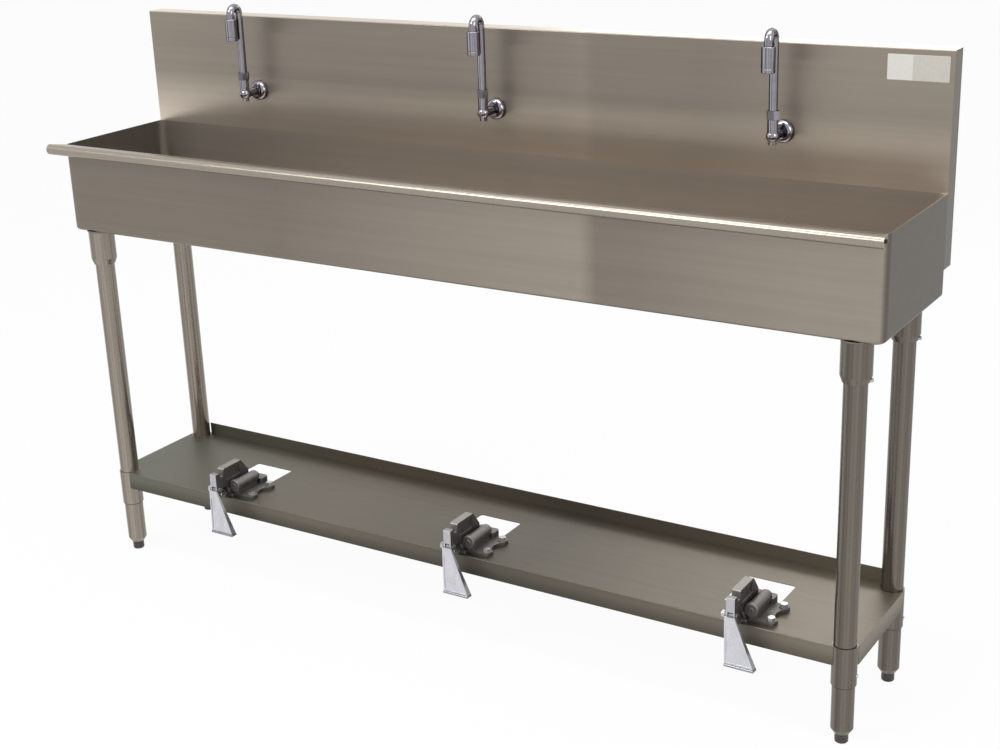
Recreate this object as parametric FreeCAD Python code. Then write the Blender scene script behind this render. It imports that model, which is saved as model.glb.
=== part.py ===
import FreeCAD, Part

import math
import os

os.makedirs("parts", exist_ok=True)

# ---------------------------------------------------------------------------
# Frame: millimetres, +X to the user's right, +Y towards the wall, +Z up.
# The origin is on the floor, under the middle of the sink's outer box.
# ---------------------------------------------------------------------------

# Sheet metal body
sheet = 1.6
bowl_length = 1829.0
bowl_depth = 305.0
bowl_height = 187.0
bowl_top_z = 953.0
cove_radius = 18.0
floor_radius = 7.0

# Rolled front rim
rim_radius = 11.0
rim_reach = 30.0
rim_overrun = 7.0
rim_drop = 4.0
rim_curl_gap = 7.0

# Backsplash
splash_rise = 246.0
splash_return = 38.0
splash_lip = 14.0
splash_bend = 2.4
return_stop = 50.0

# Legs, gussets and feet
leg_radius = 20.65
leg_wall = 1.6
leg_end_inset = 53.5
leg_side_inset = 29.5
leg_clear = 0.2
channel_width = 46.0
channel_height = 12.0
channel_sheet = 2.0
gusset_radius = 27.5
gusset_sleeve = 64.0
gusset_taper = 12.0
gusset_wall = 2.5
foot_height = 19.7
foot_gap = 0.3
foot_radius = 12.5
foot_round = 3.0
stem_radius = 8.0
stem_length = 58.0
stem_chamfer = 1.0
insert_length = 34.0
insert_collar = 9.0
insert_collar_radius = 15.0
slide_clear = 0.05
screw_radius = 3.5
screw_proud = 2.0
screw_clear = 0.05

# Undershelf
shelf_top_z = 197.0
shelf_lip = 38.0
shelf_rear_lip = 26.0
shelf_hem = 12.0
shelf_side_reach = 24.0
shelf_front_reach = 18.0
socket_wall = 2.2
socket_clear = 0.3
socket_side_gap = 6.0
socket_height = 78.0

# Wash stations
station_count = 3
station_pitch = 609.6

# Drain and strainer
drain_y = 20.0
drain_hole_radius = 44.5
drain_fit = 0.4
drain_flange_reach = 12.5
drain_flange = 2.0
drain_wall = 2.5
drain_cup_depth = 24.0
drain_ledge = 8.0
drain_ledge_drop = 12.0
tail_radius = 24.15
tail_length = 24.0
gasket_thickness = 3.0
locknut_height = 9.0
locknut_inset = 3.0
locknut_lugs = 8
locknut_lug_width = 6.0
locknut_lug_reach = 3.0
basket_gap = 0.3
basket_sheet = 1.2
basket_depth = 8.0
basket_corner = 1.5
basket_holes = 8
basket_hole_radius = 3.0
basket_hole_circle = 20.6
knob_radius = 5.0
knob_neck = 2.0
knob_height = 10.0
knob_head = 4.0

# Faucets
faucet_drop = 159.0
faucet_standoff = 50.0
shank_radius = 10.4
shank_tail = 30.0
shank_step = 0.2
shank_hole_clear = 0.8
trim_clear = 0.2
pipe_radius = 8.5
hub_step = 1.4
hub_length = 4.0
flange_radius = 21.0
flange_rim = 3.0
flange_dome = 9.0
flange_neck = 2.0
washer_thickness = 1.5
faucet_locknut_flats = 32.0
faucet_locknut_height = 6.0
elbow_radius = 11.8
body_radius = 9.7
body_height = 30.0
elbow_cap_radius = 7.5
elbow_cap_drop = 15.5
nut_flats = 21.0
nut_height = 16.0
nut_corner_slope = 0.6
nut_bore_clear = 0.4
collar_radius = 9.2
collar_height = 3.0
collar_gap = 0.3
socket_depth = 18.0
spout_radius = 8.0
spout_wall = 1.2
spout_end_gap = 1.0
spout_rise = 171.0
spout_bend = 13.0
spout_drop = 17.0
head_radius = 12.5
head_length = 46.0
head_grip = 8.0
head_corner = 1.5
head_mouth_radius = 9.5
head_mouth_depth = 6.0
head_groove_rise = 8.0
head_groove_depth = 0.8

# Foot pedal valves, sized from the hinge pin
pedal_offset = 55.0
hinge_reach = 28.0
hinge_rise = 29.0
pin_radius = 3.5
pin_tail = 2.0
pin_head_radius = 5.5
pin_head_height = 2.5
pin_nut_flats = 13.0
pin_nut_height = 6.0
pin_boss_radius = 6.5
pin_boss_height = 4.0
knuckle_radius = 7.0
knuckle_width = 10.0
ear_gap = 0.4
cheek_width = 17.0
web_front = 8.0
web_top = 43.0
web_length = 106.0
web_fall = 22.0
web_fall_drop = 30.0
web_round = 4.0
web_clear = 1.6
lug_top = 37.0
lug_thickness = 12.0
notch_floor = 27.0
notch_width = 8.0
notch_slope = 3.0
lug_round = 1.5
web_pocket = 3.0
web_border = 6.0
plunger_drop = 15.0
plunger_radius = 4.5
plunger_nose = 3.0
plunger_reach = 34.0
plunger_travel = 4.6
bonnet_flats = 22.0
bonnet_height = 8.0
bonnet_front = 17.0
barrel_radius = 13.0
barrel_setback = 3.0
base_thickness = 7.0
base_front_gap = 5.0
base_length = 107.0
base_margin = 1.0
base_round = 4.0
wing_reach = 64.0
wing_margin = 11.0
wing_round = 9.0
scallop_radius = 26.0
scallop_depth = 13.0
bolt_offset = 54.0
bolt_first = 52.0
bolt_spacing = 60.0
bolt_radius = 4.0
bolt_clear = 0.5
bolt_boss_radius = 9.4
bolt_boss_rise = 1.5
bolt_head_flats = 13.0
bolt_head_height = 6.0
bolt_nut_height = 6.5
bolt_tail = 4.0
chamber_x = 23.0
chamber_z = 0.0
chamber_radius = 12.5
chamber_front = 40.0
chamber_rear = 97.0
saddle_width = 16.0
cap_radius = 14.0
cap_thickness = 9.0
cap_round = 2.0
port_radius = 9.3
port_boss_radius = 12.0
port_depth = 14.0
port_drop = 19.0
port_y = 121.0
port_spacing = 22.0
port_block_height = 12.0
port_block_round = 6.0

# Shelf cut-outs, one behind each valve
cutout_width = 98.0
cutout_depth = 114.0
cutout_right = 37.0
cutout_front_gap = 70.0
cutout_radius = 6.0

# Pedal
pad_gap = 1.4
pad_skin = 3.0
pad_top_rise = 1.0
pad_top_width = 20.0
pad_bottom_width = 58.0
pad_bottom_left = -6.0
pad_length = 94.0
pad_lean = 7.0
pad_side_top = 3.6
pad_side_bottom = 13.0
pad_hollow_drop = 13.0
pad_lip = 2.6
pad_lip_height = 4.0
pad_lip_round = 1.2
pad_recess = 0.8
pad_border = 3.5
pad_panel_drop = 17.0
heel_depth = 24.0
heel_chamfer = 4.0

# ---------------------------------------------------------------------------
# Places worked out from the sizes above
# ---------------------------------------------------------------------------

overall_depth = rim_radius + rim_reach + bowl_depth + splash_return
front_y = -overall_depth / 2
back_y = overall_depth / 2
apron_y = front_y + rim_radius + rim_reach
splash_y = apron_y + bowl_depth
splash_face_y = splash_y - sheet
half_length = bowl_length / 2
bowl_bottom_z = bowl_top_z - bowl_height
bowl_floor_z = bowl_bottom_z + sheet
splash_top_z = bowl_top_z + splash_rise

leg_x = half_length - leg_end_inset
leg_front_y = apron_y + leg_side_inset
leg_rear_y = splash_y - leg_side_inset
leg_spots = {
    "front_left": (-leg_x, leg_front_y),
    "front_right": (leg_x, leg_front_y),
    "rear_left": (-leg_x, leg_rear_y),
    "rear_right": (leg_x, leg_rear_y),
}
insert_bottom_z = foot_height + foot_gap
leg_bottom_z = insert_bottom_z + insert_collar
leg_bore = leg_radius - leg_wall
channel_bottom_z = bowl_bottom_z - channel_height
leg_top_z = bowl_bottom_z - gusset_wall
gusset_sleeve_z = bowl_bottom_z - gusset_sleeve
gusset_bottom_z = gusset_sleeve_z - gusset_taper
gusset_screw_z = gusset_bottom_z + gusset_taper / 2

shelf_front_y = leg_front_y - shelf_front_reach
shelf_rear_y = leg_rear_y + shelf_front_reach
shelf_side_x = leg_x + shelf_side_reach
shelf_under_z = shelf_top_z - sheet
shelf_lip_z = shelf_top_z - shelf_lip
socket_radius = leg_radius + leg_clear + socket_wall
socket_bottom_z = shelf_top_z - socket_height
socket_screw_z = (socket_bottom_z + shelf_lip_z) / 2

cup_radius = drain_hole_radius - drain_fit
cup_inner = cup_radius - drain_wall
cup_bottom_z = bowl_bottom_z - drain_cup_depth
tail_bottom_z = cup_bottom_z - tail_length
drain_flange_radius = drain_hole_radius + drain_flange_reach
ledge_radius = cup_inner - drain_ledge
ledge_z = bowl_floor_z - drain_ledge_drop
gasket_bottom_z = bowl_bottom_z - gasket_thickness

station_xs = [(i - (station_count - 1) / 2) * station_pitch for i in range(station_count)]
faucet_z = splash_top_z - faucet_drop
flange_front = -washer_thickness - flange_rim
shoulder = flange_front - flange_dome
shank_end = sheet + shank_tail

hinge_y = shelf_front_y - hinge_reach
hinge_z = shelf_top_z + hinge_rise
valve_xs = [x + pedal_offset for x in station_xs]
bolt_ys = [bolt_first, bolt_first + bolt_spacing]
port_xs = [0, port_spacing]
web_rear = web_length - web_front
base_top = base_thickness - hinge_rise
barrel_front = bonnet_front + bonnet_height
port_mouth = -hinge_rise - port_drop

# Handy directions, and the mark of a profile point that an arc passes through
ORIGIN = FreeCAD.Vector(0, 0, 0)
ALONG_X = FreeCAD.Vector(1, 0, 0)
ALONG_Y = FreeCAD.Vector(0, 1, 0)
ALONG_Z = FreeCAD.Vector(0, 0, 1)
BEND = "bend"


# ---------------------------------------------------------------------------
# Small helpers
# ---------------------------------------------------------------------------

def vec(x, y, z):
    return FreeCAD.Vector(x, y, z)


def span(a, b):
    """Two limits in rising order."""
    return min(a, b), max(a, b)


def block(x0, x1, y0, y1, z0, z1):
    """A box given by its limits."""
    return Part.makeBox(x1 - x0, y1 - y0, z1 - z0, vec(x0, y0, z0))


def rod(radius, start, end):
    """A cylinder from one point to another."""
    run = end - start
    return Part.makeCylinder(radius, run.Length, start, run)


def tube(outer, inner, start, end):
    """A round tube from one point to another."""
    return rod(outer, start, end).cut(rod(inner, start, end))


def prism(points, push):
    """A closed outline pushed along a vector."""
    wire = Part.makePolygon(points + [points[0]])
    return Part.Face(wire).extrude(push)


def bend(start, corner, end):
    """Three profile points of a smooth quarter turn that swings out towards a corner."""
    share = math.sqrt(0.5)
    middle = [(a + b) * (1 - share) + c * (2 * share - 1) for a, c, b in zip(start, corner, end)]
    return [start, (middle[0], middle[1], BEND), end]


def turned(profile, axis=ALONG_Z):
    """A solid of revolution; the profile's points are (radius, height along the axis)."""
    upright = axis == ALONG_Z
    spots = [vec(p[0], 0, p[1]) if upright else vec(p[0], p[1], 0) for p in profile]
    count = len(spots)
    edges = []
    here = 0
    while here < count:
        after, beyond = (here + 1) % count, (here + 2) % count
        if BEND in profile[after]:
            edges.append(Part.Arc(spots[here], spots[after], spots[beyond]).toShape())
            here += 2
        else:
            edges.append(Part.makeLine(spots[here], spots[after]))
            here += 1
    return Part.Face(Part.Wire(edges)).revolve(ORIGIN, axis, 360)


def hexagon(flats, height, start, axis):
    """A hexagonal bar with its across-flats size, rising from start along the axis."""
    corner = flats / math.sqrt(3)
    turns = [math.radians(60 * k) for k in range(6)]
    bar = prism([vec(corner * math.cos(t), corner * math.sin(t), 0) for t in turns], vec(0, 0, height))
    bar.Placement = FreeCAD.Placement(start, FreeCAD.Rotation(ALONG_Z, axis))
    return bar


def chamfered_nut(flats, height, bore, start, axis):
    """A hexagonal nut with its corners turned off at both faces."""
    corner = flats / math.sqrt(3)
    rise = (corner - flats / 2) * nut_corner_slope
    crown = turned([
        (0, 0), (flats / 2, 0), (corner, rise), (corner, height - rise), (flats / 2, height), (0, height)
    ])
    crown.Placement = FreeCAD.Placement(start, FreeCAD.Rotation(ALONG_Z, axis))
    nut = hexagon(flats, height, start, axis).common(crown)
    return nut.cut(rod(bore, start, start + axis * height))


def fused(shapes):
    """One solid from several that share faces or volume."""
    whole = shapes[0].fuse(shapes[1:])
    return whole.removeSplitter()


def upright_edges(shape, keep=lambda x, y: True):
    """Vertical edges whose place passes the test keep(x, y)."""
    found = []
    for edge in shape.Edges:
        a, b = edge.Vertexes[0].Point, edge.Vertexes[-1].Point
        if math.hypot(a.x - b.x, a.y - b.y) < 1e-6 and abs(a.z - b.z) > 1e-6 and keep(a.x, a.y):
            found.append(edge)
    return found


def level_edges(shape, height):
    """Edges that lie wholly at one height."""
    return [e for e in shape.Edges if all(abs(v.Z - height) < 1e-6 for v in e.Vertexes)]


def edges_along_x(shape, y, z):
    """Straight edges parallel to X at one place in the YZ plane."""
    found = []
    for edge in shape.Edges:
        ends = [v.Point for v in edge.Vertexes]
        if len(ends) == 2 and all(abs(p.y - y) < 1e-6 and abs(p.z - z) < 1e-6 for p in ends):
            found.append(edge)
    return found


def at(shape, x, y, z):
    """A copy of the shape moved by an offset."""
    moved = shape.copy()
    moved.translate(vec(x, y, z))
    return moved


def export(node, shape):
    """Write one node to its own file."""
    shape.exportStep("parts/" + node + ".step")


def export_group(node, shapes):
    """Write several separate solids as one node."""
    export(node, Part.makeCompound(shapes))


# ---------------------------------------------------------------------------
# Bowl, rim and backsplash
# ---------------------------------------------------------------------------

def bowl():
    """The trough: coved inside, open on top, with the drain hole in its floor."""
    outer = block(-half_length, half_length, apron_y, splash_y, bowl_bottom_z, bowl_top_z)
    front = upright_edges(outer, lambda x, y: y < 0)
    outer = outer.makeFillet(cove_radius + sheet, front)
    outer = outer.makeFillet(floor_radius + sheet, level_edges(outer, bowl_bottom_z))
    inner = block(
        sheet - half_length, half_length - sheet, apron_y + sheet, splash_face_y,
        bowl_floor_z, bowl_top_z + sheet,
    )
    inner = inner.makeFillet(cove_radius, upright_edges(inner))
    inner = inner.makeFillet(floor_radius, level_edges(inner, bowl_floor_z))
    hole = rod(drain_hole_radius, vec(0, drain_y, bowl_bottom_z - sheet), vec(0, drain_y, bowl_top_z))
    return outer.cut(inner).cut(hole)


def rolled_rim():
    """The front edge: a web that climbs from the apron's top and curls into an open tube."""
    axis_y = apron_y - rim_reach
    axis_z = bowl_top_z - rim_drop
    end = half_length + rim_overrun
    curl = tube(rim_radius, rim_radius - sheet, vec(-end, axis_y, axis_z), vec(end, axis_y, axis_z))
    curl_low = axis_z - rim_radius
    curl = curl.cut(block(-end, end, axis_y, axis_y + rim_radius, curl_low, curl_low + rim_curl_gap))
    return fused([curl, rim_web(axis_y, axis_z)])


def rim_web(axis_y, axis_z):
    """The straight strip that runs from the apron's top and meets the curl at a tangent."""
    rise = rim_drop + sheet
    turn = math.atan2(rise, rim_reach) + math.acos(rim_radius / math.hypot(rim_reach, rise))
    crest = [
        vec(-half_length, axis_y + r * math.cos(turn), axis_z + r * math.sin(turn))
        for r in (rim_radius, rim_radius - sheet)
    ]
    return prism(crest + [
        vec(-half_length, apron_y, bowl_top_z),
        vec(-half_length, apron_y + sheet, bowl_top_z),
        vec(-half_length, apron_y + sheet, bowl_top_z + sheet),
        vec(-half_length, apron_y, bowl_top_z + sheet),
    ], vec(bowl_length, 0, 0))


def backsplash():
    """The tall back panel with its top, side and rear turned edges."""
    return_z = bowl_bottom_z + return_stop
    plates = [
        block(-half_length, half_length, splash_face_y, splash_y, bowl_top_z, splash_top_z),
        block(-half_length, half_length, splash_face_y, back_y, splash_top_z - sheet, splash_top_z),
        block(-half_length, half_length, back_y - sheet, back_y, splash_top_z - splash_lip, splash_top_z),
    ]
    for side in (-1, 1):
        outer_x = side * half_length
        side_strip = span(outer_x, outer_x - side * sheet)
        rear_strip = span(outer_x, outer_x - side * splash_lip)
        plates.append(block(*side_strip, splash_y, back_y, return_z, splash_top_z))
        plates.append(block(*rear_strip, back_y - sheet, back_y, return_z, splash_top_z))
    panel = fused(plates)
    panel = panel.makeFillet(splash_bend, edges_along_x(panel, splash_face_y, splash_top_z))
    hole_radius = shank_radius + shank_hole_clear
    starts = [vec(x, splash_face_y, faucet_z) for x in station_xs]
    holes = [rod(hole_radius, start, start + vec(0, sheet, 0)) for start in starts]
    return panel.cut(holes)


# ---------------------------------------------------------------------------
# Legs
# ---------------------------------------------------------------------------

def leg_channel(side):
    """The stiffening channel under the bowl, between the two gussets of one end."""
    x0, x1 = side * leg_x - channel_width / 2, side * leg_x + channel_width / 2
    y0, y1 = leg_front_y, leg_rear_y
    outer = block(x0, x1, y0, y1, channel_bottom_z, bowl_bottom_z)
    hollow_z = channel_bottom_z + channel_sheet
    cups = [
        rod(gusset_radius, vec(side * leg_x, y, channel_bottom_z), vec(side * leg_x, y, bowl_bottom_z))
        for y in (y0, y1)
    ]
    return outer.cut(block(x0 + channel_sheet, x1 - channel_sheet, y0, y1, hollow_z, bowl_bottom_z)).cut(cups)


def set_screw(x, y, z, reach, clear=0):
    """A set screw that enters from the sink's end and bears on the leg."""
    side = math.copysign(1, x)
    start, end = vec(x + side * leg_radius, y, z), vec(x + side * (reach + screw_proud), y, z)
    return rod(screw_radius + clear, start, end)


def leg_gusset(x, y):
    """The pressed cup that takes the top of one leg."""
    bore = leg_radius + leg_clear
    hollow = gusset_radius - gusset_wall
    cup = turned([
        (0, bowl_bottom_z), (gusset_radius, bowl_bottom_z), (gusset_radius, gusset_sleeve_z),
        (bore + gusset_wall, gusset_bottom_z), (bore, gusset_bottom_z), (bore, gusset_sleeve_z),
        (hollow, gusset_sleeve_z + gusset_wall), (hollow, leg_top_z), (0, leg_top_z),
    ])
    return at(cup, x, y, 0).cut(set_screw(x, y, gusset_screw_z, gusset_radius, screw_clear))


def leg(x, y):
    """One round tube leg."""
    return tube(leg_radius, leg_bore, vec(x, y, leg_bottom_z), vec(x, y, leg_top_z))


def leg_insert(x, y):
    """The threaded plug in the leg's lower end, with the tapered collar that the leg stands on."""
    bore = stem_radius + slide_clear
    top_z = insert_bottom_z + insert_length
    plug = turned([
        (bore, insert_bottom_z), (insert_collar_radius, insert_bottom_z), (leg_radius, leg_bottom_z),
        (leg_bore, leg_bottom_z), (leg_bore, top_z), (bore, top_z),
    ])
    return at(plug, x, y, 0)


def bullet_foot(x, y):
    """The screw-down foot: a round-edged bullet on a stem."""
    shape = turned([
        (0, 0), *bend((foot_radius - foot_round, 0), (foot_radius, 0), (foot_radius, foot_round)),
        (foot_radius, foot_height), (stem_radius, foot_height), (stem_radius, stem_length - stem_chamfer),
        (stem_radius - stem_chamfer, stem_length), (0, stem_length),
    ])
    return at(shape, x, y, 0)


# ---------------------------------------------------------------------------
# Undershelf
# ---------------------------------------------------------------------------

def leg_notch(x, y):
    """What is cut from a shelf corner so that its lips and deck end at the leg's socket."""
    out_x, out_y = math.copysign(1, x), math.copysign(1, y)
    far = shelf_side_reach + sheet
    low, high = shelf_lip_z - sheet, shelf_top_z + shelf_rear_lip + sheet
    corner_x = span(x, x + out_x * far)
    corner_y = span(y - out_y * socket_side_gap, y + out_y * far)
    return fused([
        block(*corner_x, *corner_y, low, high),
        rod(socket_radius + socket_clear, vec(x, y, low), vec(x, y, high)),
    ])


def cutout(x):
    """The rounded opening in the shelf behind one valve."""
    x1 = x + cutout_right
    y0 = shelf_front_y + cutout_front_gap
    hole = block(x1 - cutout_width, x1, y0, y0 + cutout_depth, shelf_under_z, shelf_top_z)
    return hole.makeFillet(cutout_radius, upright_edges(hole))


def bolt_hole(x, y):
    """The clearance hole in the shelf for one valve bolt."""
    spot = vec(x + bolt_offset, hinge_y + y, shelf_under_z)
    return rod(bolt_radius + bolt_clear, spot, spot + vec(0, 0, sheet))


def undershelf():
    """The lower shelf: turned down at the front and ends, turned up at the rear."""
    x0, x1, y0, y1 = -shelf_side_x, shelf_side_x, shelf_front_y, shelf_rear_y
    pan = fused([
        block(x0, x1, y0, y1, shelf_under_z, shelf_top_z),
        block(x0, x1, y0, y0 + sheet, shelf_lip_z, shelf_top_z),
        block(x0, x1, y0, y0 + shelf_hem, shelf_lip_z, shelf_lip_z + sheet),
        block(x0, x0 + sheet, y0, y1, shelf_lip_z, shelf_top_z),
        block(x1 - sheet, x1, y0, y1, shelf_lip_z, shelf_top_z),
        block(x0, x1, y1 - sheet, y1, shelf_under_z, shelf_top_z + shelf_rear_lip),
    ])
    pan = pan.makeFillet(sheet, edges_along_x(pan, y0, shelf_top_z))
    cuts = [leg_notch(x, y) for x, y in leg_spots.values()]
    cuts += [cutout(x) for x in valve_xs]
    cuts += [bolt_hole(x, y) for x in valve_xs for y in bolt_ys]
    return pan.cut(cuts)


def shelf_socket(x, y):
    """The collar at a shelf corner that slides on the leg and is locked by a set screw."""
    bottom, top = vec(x, y, socket_bottom_z), vec(x, y, shelf_top_z)
    collar = tube(socket_radius, leg_radius + leg_clear, bottom, top)
    return collar.cut(set_screw(x, y, socket_screw_z, socket_radius, screw_clear))


# ---------------------------------------------------------------------------
# Drain
# ---------------------------------------------------------------------------

def drain_body():
    """The flanged drain cup with the ledge for its strainer and the threaded tailpiece."""
    flange_z = bowl_floor_z + drain_flange
    cup_floor_z = cup_bottom_z + drain_wall
    tail_inner = tail_radius - drain_wall
    shape = turned([
        (cup_inner, flange_z), (drain_flange_radius - drain_flange, flange_z),
        (drain_flange_radius, bowl_floor_z), (cup_radius, bowl_floor_z), (cup_radius, cup_bottom_z),
        (tail_radius, cup_bottom_z), (tail_radius, tail_bottom_z), (tail_inner, tail_bottom_z),
        (tail_inner, cup_floor_z), (ledge_radius, cup_floor_z), (ledge_radius, ledge_z), (cup_inner, ledge_z),
    ])
    return at(shape, 0, drain_y, 0)


def drain_gasket():
    """The rubber ring between the bowl's underside and the locknut."""
    bottom, top = vec(0, drain_y, gasket_bottom_z), vec(0, drain_y, bowl_bottom_z)
    return tube(drain_flange_radius, cup_radius, bottom, top)


def drain_locknut():
    """The lugged nut that clamps the drain body to the bowl."""
    low_z = gasket_bottom_z - locknut_height
    ring_radius = drain_flange_radius - locknut_inset
    ring = tube(ring_radius, cup_radius, vec(0, 0, low_z), vec(0, 0, gasket_bottom_z))
    half = locknut_lug_width / 2
    lugs = []
    root, tip = ring_radius - locknut_inset, ring_radius + locknut_lug_reach
    for k in range(locknut_lugs):
        lug = block(root, tip, -half, half, low_z, gasket_bottom_z)
        lug.rotate(ORIGIN, ALONG_Z, 360.0 * k / locknut_lugs)
        lugs.append(lug)
    return at(fused([ring] + lugs), 0, drain_y, 0)


def strainer_basket():
    """The lift-out strainer: a perforated dish with a small pull knob."""
    rim_z = ledge_z + basket_gap
    top_z = rim_z + basket_sheet
    rim = cup_inner - basket_gap
    wall = ledge_radius - basket_gap
    low_z = ledge_z - basket_depth
    dish = turned([
        (0, low_z), *bend((wall - basket_corner, low_z), (wall, low_z), (wall, low_z + basket_corner)),
        (wall, rim_z), (rim, rim_z), (rim, top_z), (wall - basket_sheet, top_z),
        (wall - basket_sheet, low_z + basket_sheet), (0, low_z + basket_sheet),
    ])
    knob_top = low_z + knob_height
    knob_low = knob_top - knob_head
    knob = turned([
        (0, low_z), (knob_neck, low_z), (knob_neck, knob_low),
        *bend((knob_radius, knob_low), (knob_radius, knob_top), (knob_neck, knob_top)), (0, knob_top),
    ])
    holes = []
    for k in range(basket_holes):
        turn = 2 * math.pi * k / basket_holes
        x, y = basket_hole_circle * math.cos(turn), basket_hole_circle * math.sin(turn)
        holes.append(rod(basket_hole_radius, vec(x, y, low_z), vec(x, y, low_z + basket_sheet)))
    return at(fused([dish, knob]).cut(holes), 0, drain_y, 0)


# ---------------------------------------------------------------------------
# Faucets; each is drawn with its shank's axis along Y from the splash's face
# ---------------------------------------------------------------------------

def placed_faucet(shape, x):
    """One faucet piece moved to its station."""
    return at(shape, x, splash_face_y, faucet_z)


def faucet_washer():
    """The rubber washer under the wall flange."""
    return tube(flange_radius, shank_radius + trim_clear, vec(0, -washer_thickness, 0), ORIGIN)


def faucet_flange():
    """The domed escutcheon against the splash."""
    bore = shank_radius + trim_clear
    neck = bore + flange_neck
    return turned([
        (bore, -washer_thickness), (flange_radius, -washer_thickness),
        *bend((flange_radius, flange_front), (flange_radius, shoulder), (neck, shoulder)), (bore, shoulder),
    ], ALONG_Y)


def faucet_locknut():
    """The nut behind the splash that holds the faucet."""
    start = vec(0, sheet, 0)
    return chamfered_nut(faucet_locknut_flats, faucet_locknut_height, shank_radius, start, ALONG_Y)


def faucet_body():
    """The elbow: inlet shank through the splash, and the upright socket for the spout."""
    elbow = vec(0, -faucet_standoff, 0)
    top = elbow + vec(0, 0, body_height)
    nut_back = vec(0, sheet + faucet_locknut_height, 0)
    tail = vec(0, shank_end, 0)
    front = vec(0, shoulder, 0)
    body = fused([
        rod(shank_radius, nut_back, front),
        rod(shank_radius - shank_step, tail, nut_back),
        rod(shank_radius + hub_step, front, vec(0, shoulder - hub_length, 0)),
        rod(pipe_radius, front, elbow),
        Part.makeSphere(elbow_radius, elbow),
        rod(body_radius, elbow, top),
        rod(elbow_cap_radius, elbow, elbow - vec(0, 0, elbow_cap_drop)),
    ])
    way = spout_radius - spout_wall
    return body.cut([
        rod(spout_radius + slide_clear, top - vec(0, 0, socket_depth), top),
        rod(way, elbow, top),
        rod(way, tail, elbow),
    ])


def coupling_nut():
    """The hexagonal nut that keeps the spout's collar on the body."""
    base = vec(0, -faucet_standoff, body_height)
    nut = chamfered_nut(nut_flats, nut_height, spout_radius + nut_bore_clear, base, ALONG_Z)
    recess_top = base + vec(0, 0, collar_height + 2 * collar_gap)
    return nut.cut(rod(collar_radius + nut_bore_clear, base, recess_top))


def gooseneck(radius, bottom):
    """A round bar up the riser, over a half circle and down to the outlet."""
    y = -faucet_standoff
    outlet_y = y - 2 * spout_bend
    riser = rod(radius, vec(0, y, bottom), vec(0, y, spout_rise))
    ring = Part.makeTorus(spout_bend, radius, vec(0, y - spout_bend, spout_rise), ALONG_X)
    reach = spout_bend + radius
    middle = y - spout_bend
    upper = block(-radius, radius, middle - reach, middle + reach, spout_rise, spout_rise + reach)
    drop = rod(radius, vec(0, outlet_y, spout_rise), vec(0, outlet_y, spout_rise - spout_drop))
    return fused([riser, ring.common(upper), drop])


def spout():
    """The swivelling gooseneck tube with the collar that the nut captures."""
    bottom = body_height - socket_depth + spout_end_gap
    collar_low = vec(0, -faucet_standoff, body_height + collar_gap)
    collar = rod(collar_radius, collar_low, collar_low + vec(0, 0, collar_height))
    solid = fused([gooseneck(spout_radius, bottom), collar])
    return solid.cut(gooseneck(spout_radius - spout_wall, bottom))


def outlet_head():
    """The straight outlet head on the spout's end."""
    pipe_end = spout_rise - spout_drop
    top_z = pipe_end + head_grip
    low_z = top_z - head_length
    bore = spout_radius - spout_wall
    mouth_z = low_z + head_mouth_depth
    groove_z = low_z + head_groove_rise
    inset = head_radius - head_corner
    groove = head_radius - head_groove_depth
    shape = turned([
        (spout_radius, top_z),
        *bend((inset, top_z), (head_radius, top_z), (head_radius, top_z - head_corner)),
        (head_radius, groove_z + head_groove_depth), (groove, groove_z),
        (head_radius, groove_z - head_groove_depth),
        *bend((head_radius, low_z + head_corner), (head_radius, low_z), (inset, low_z)),
        (head_mouth_radius, low_z), (head_mouth_radius, mouth_z), (bore, mouth_z), (bore, pipe_end),
        (spout_radius, pipe_end),
    ])
    return at(shape, 0, -faucet_standoff - 2 * spout_bend, 0)


# ---------------------------------------------------------------------------
# Foot pedal valves; each is drawn with its hinge pin's axis along X at the origin
# ---------------------------------------------------------------------------

def placed_valve(shape, x):
    """One valve piece moved to its place on the shelf."""
    return at(shape, x, hinge_y, hinge_z)


def valve_arm():
    """The upright arm's outline: a front lug over the pedal, a notch, and a web that falls at the rear."""
    half = cheek_width / 2
    lug_back = lug_thickness - web_front
    notch_back = lug_back + notch_slope + notch_width
    outline = [
        (-web_front, 0), (-web_front, lug_top), (lug_back, lug_top), (lug_back + notch_slope, notch_floor),
        (notch_back, notch_floor), (notch_back + notch_slope, web_top), (web_rear - web_fall, web_top),
        (web_rear, web_top - web_fall_drop), (web_rear, -plunger_drop), (barrel_front, -plunger_drop),
        (barrel_front, 0),
    ]
    arm = prism([vec(-half, y, z) for y, z in outline], vec(cheek_width, 0, 0))
    lug_corners = edges_along_x(arm, *outline[1]) + edges_along_x(arm, *outline[2])
    arm = arm.makeFillet(lug_round, lug_corners)
    web_corners = [edge for spot in outline[5:8] for edge in edges_along_x(arm, *spot)]
    return arm.makeFillet(web_round, web_corners)


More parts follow.
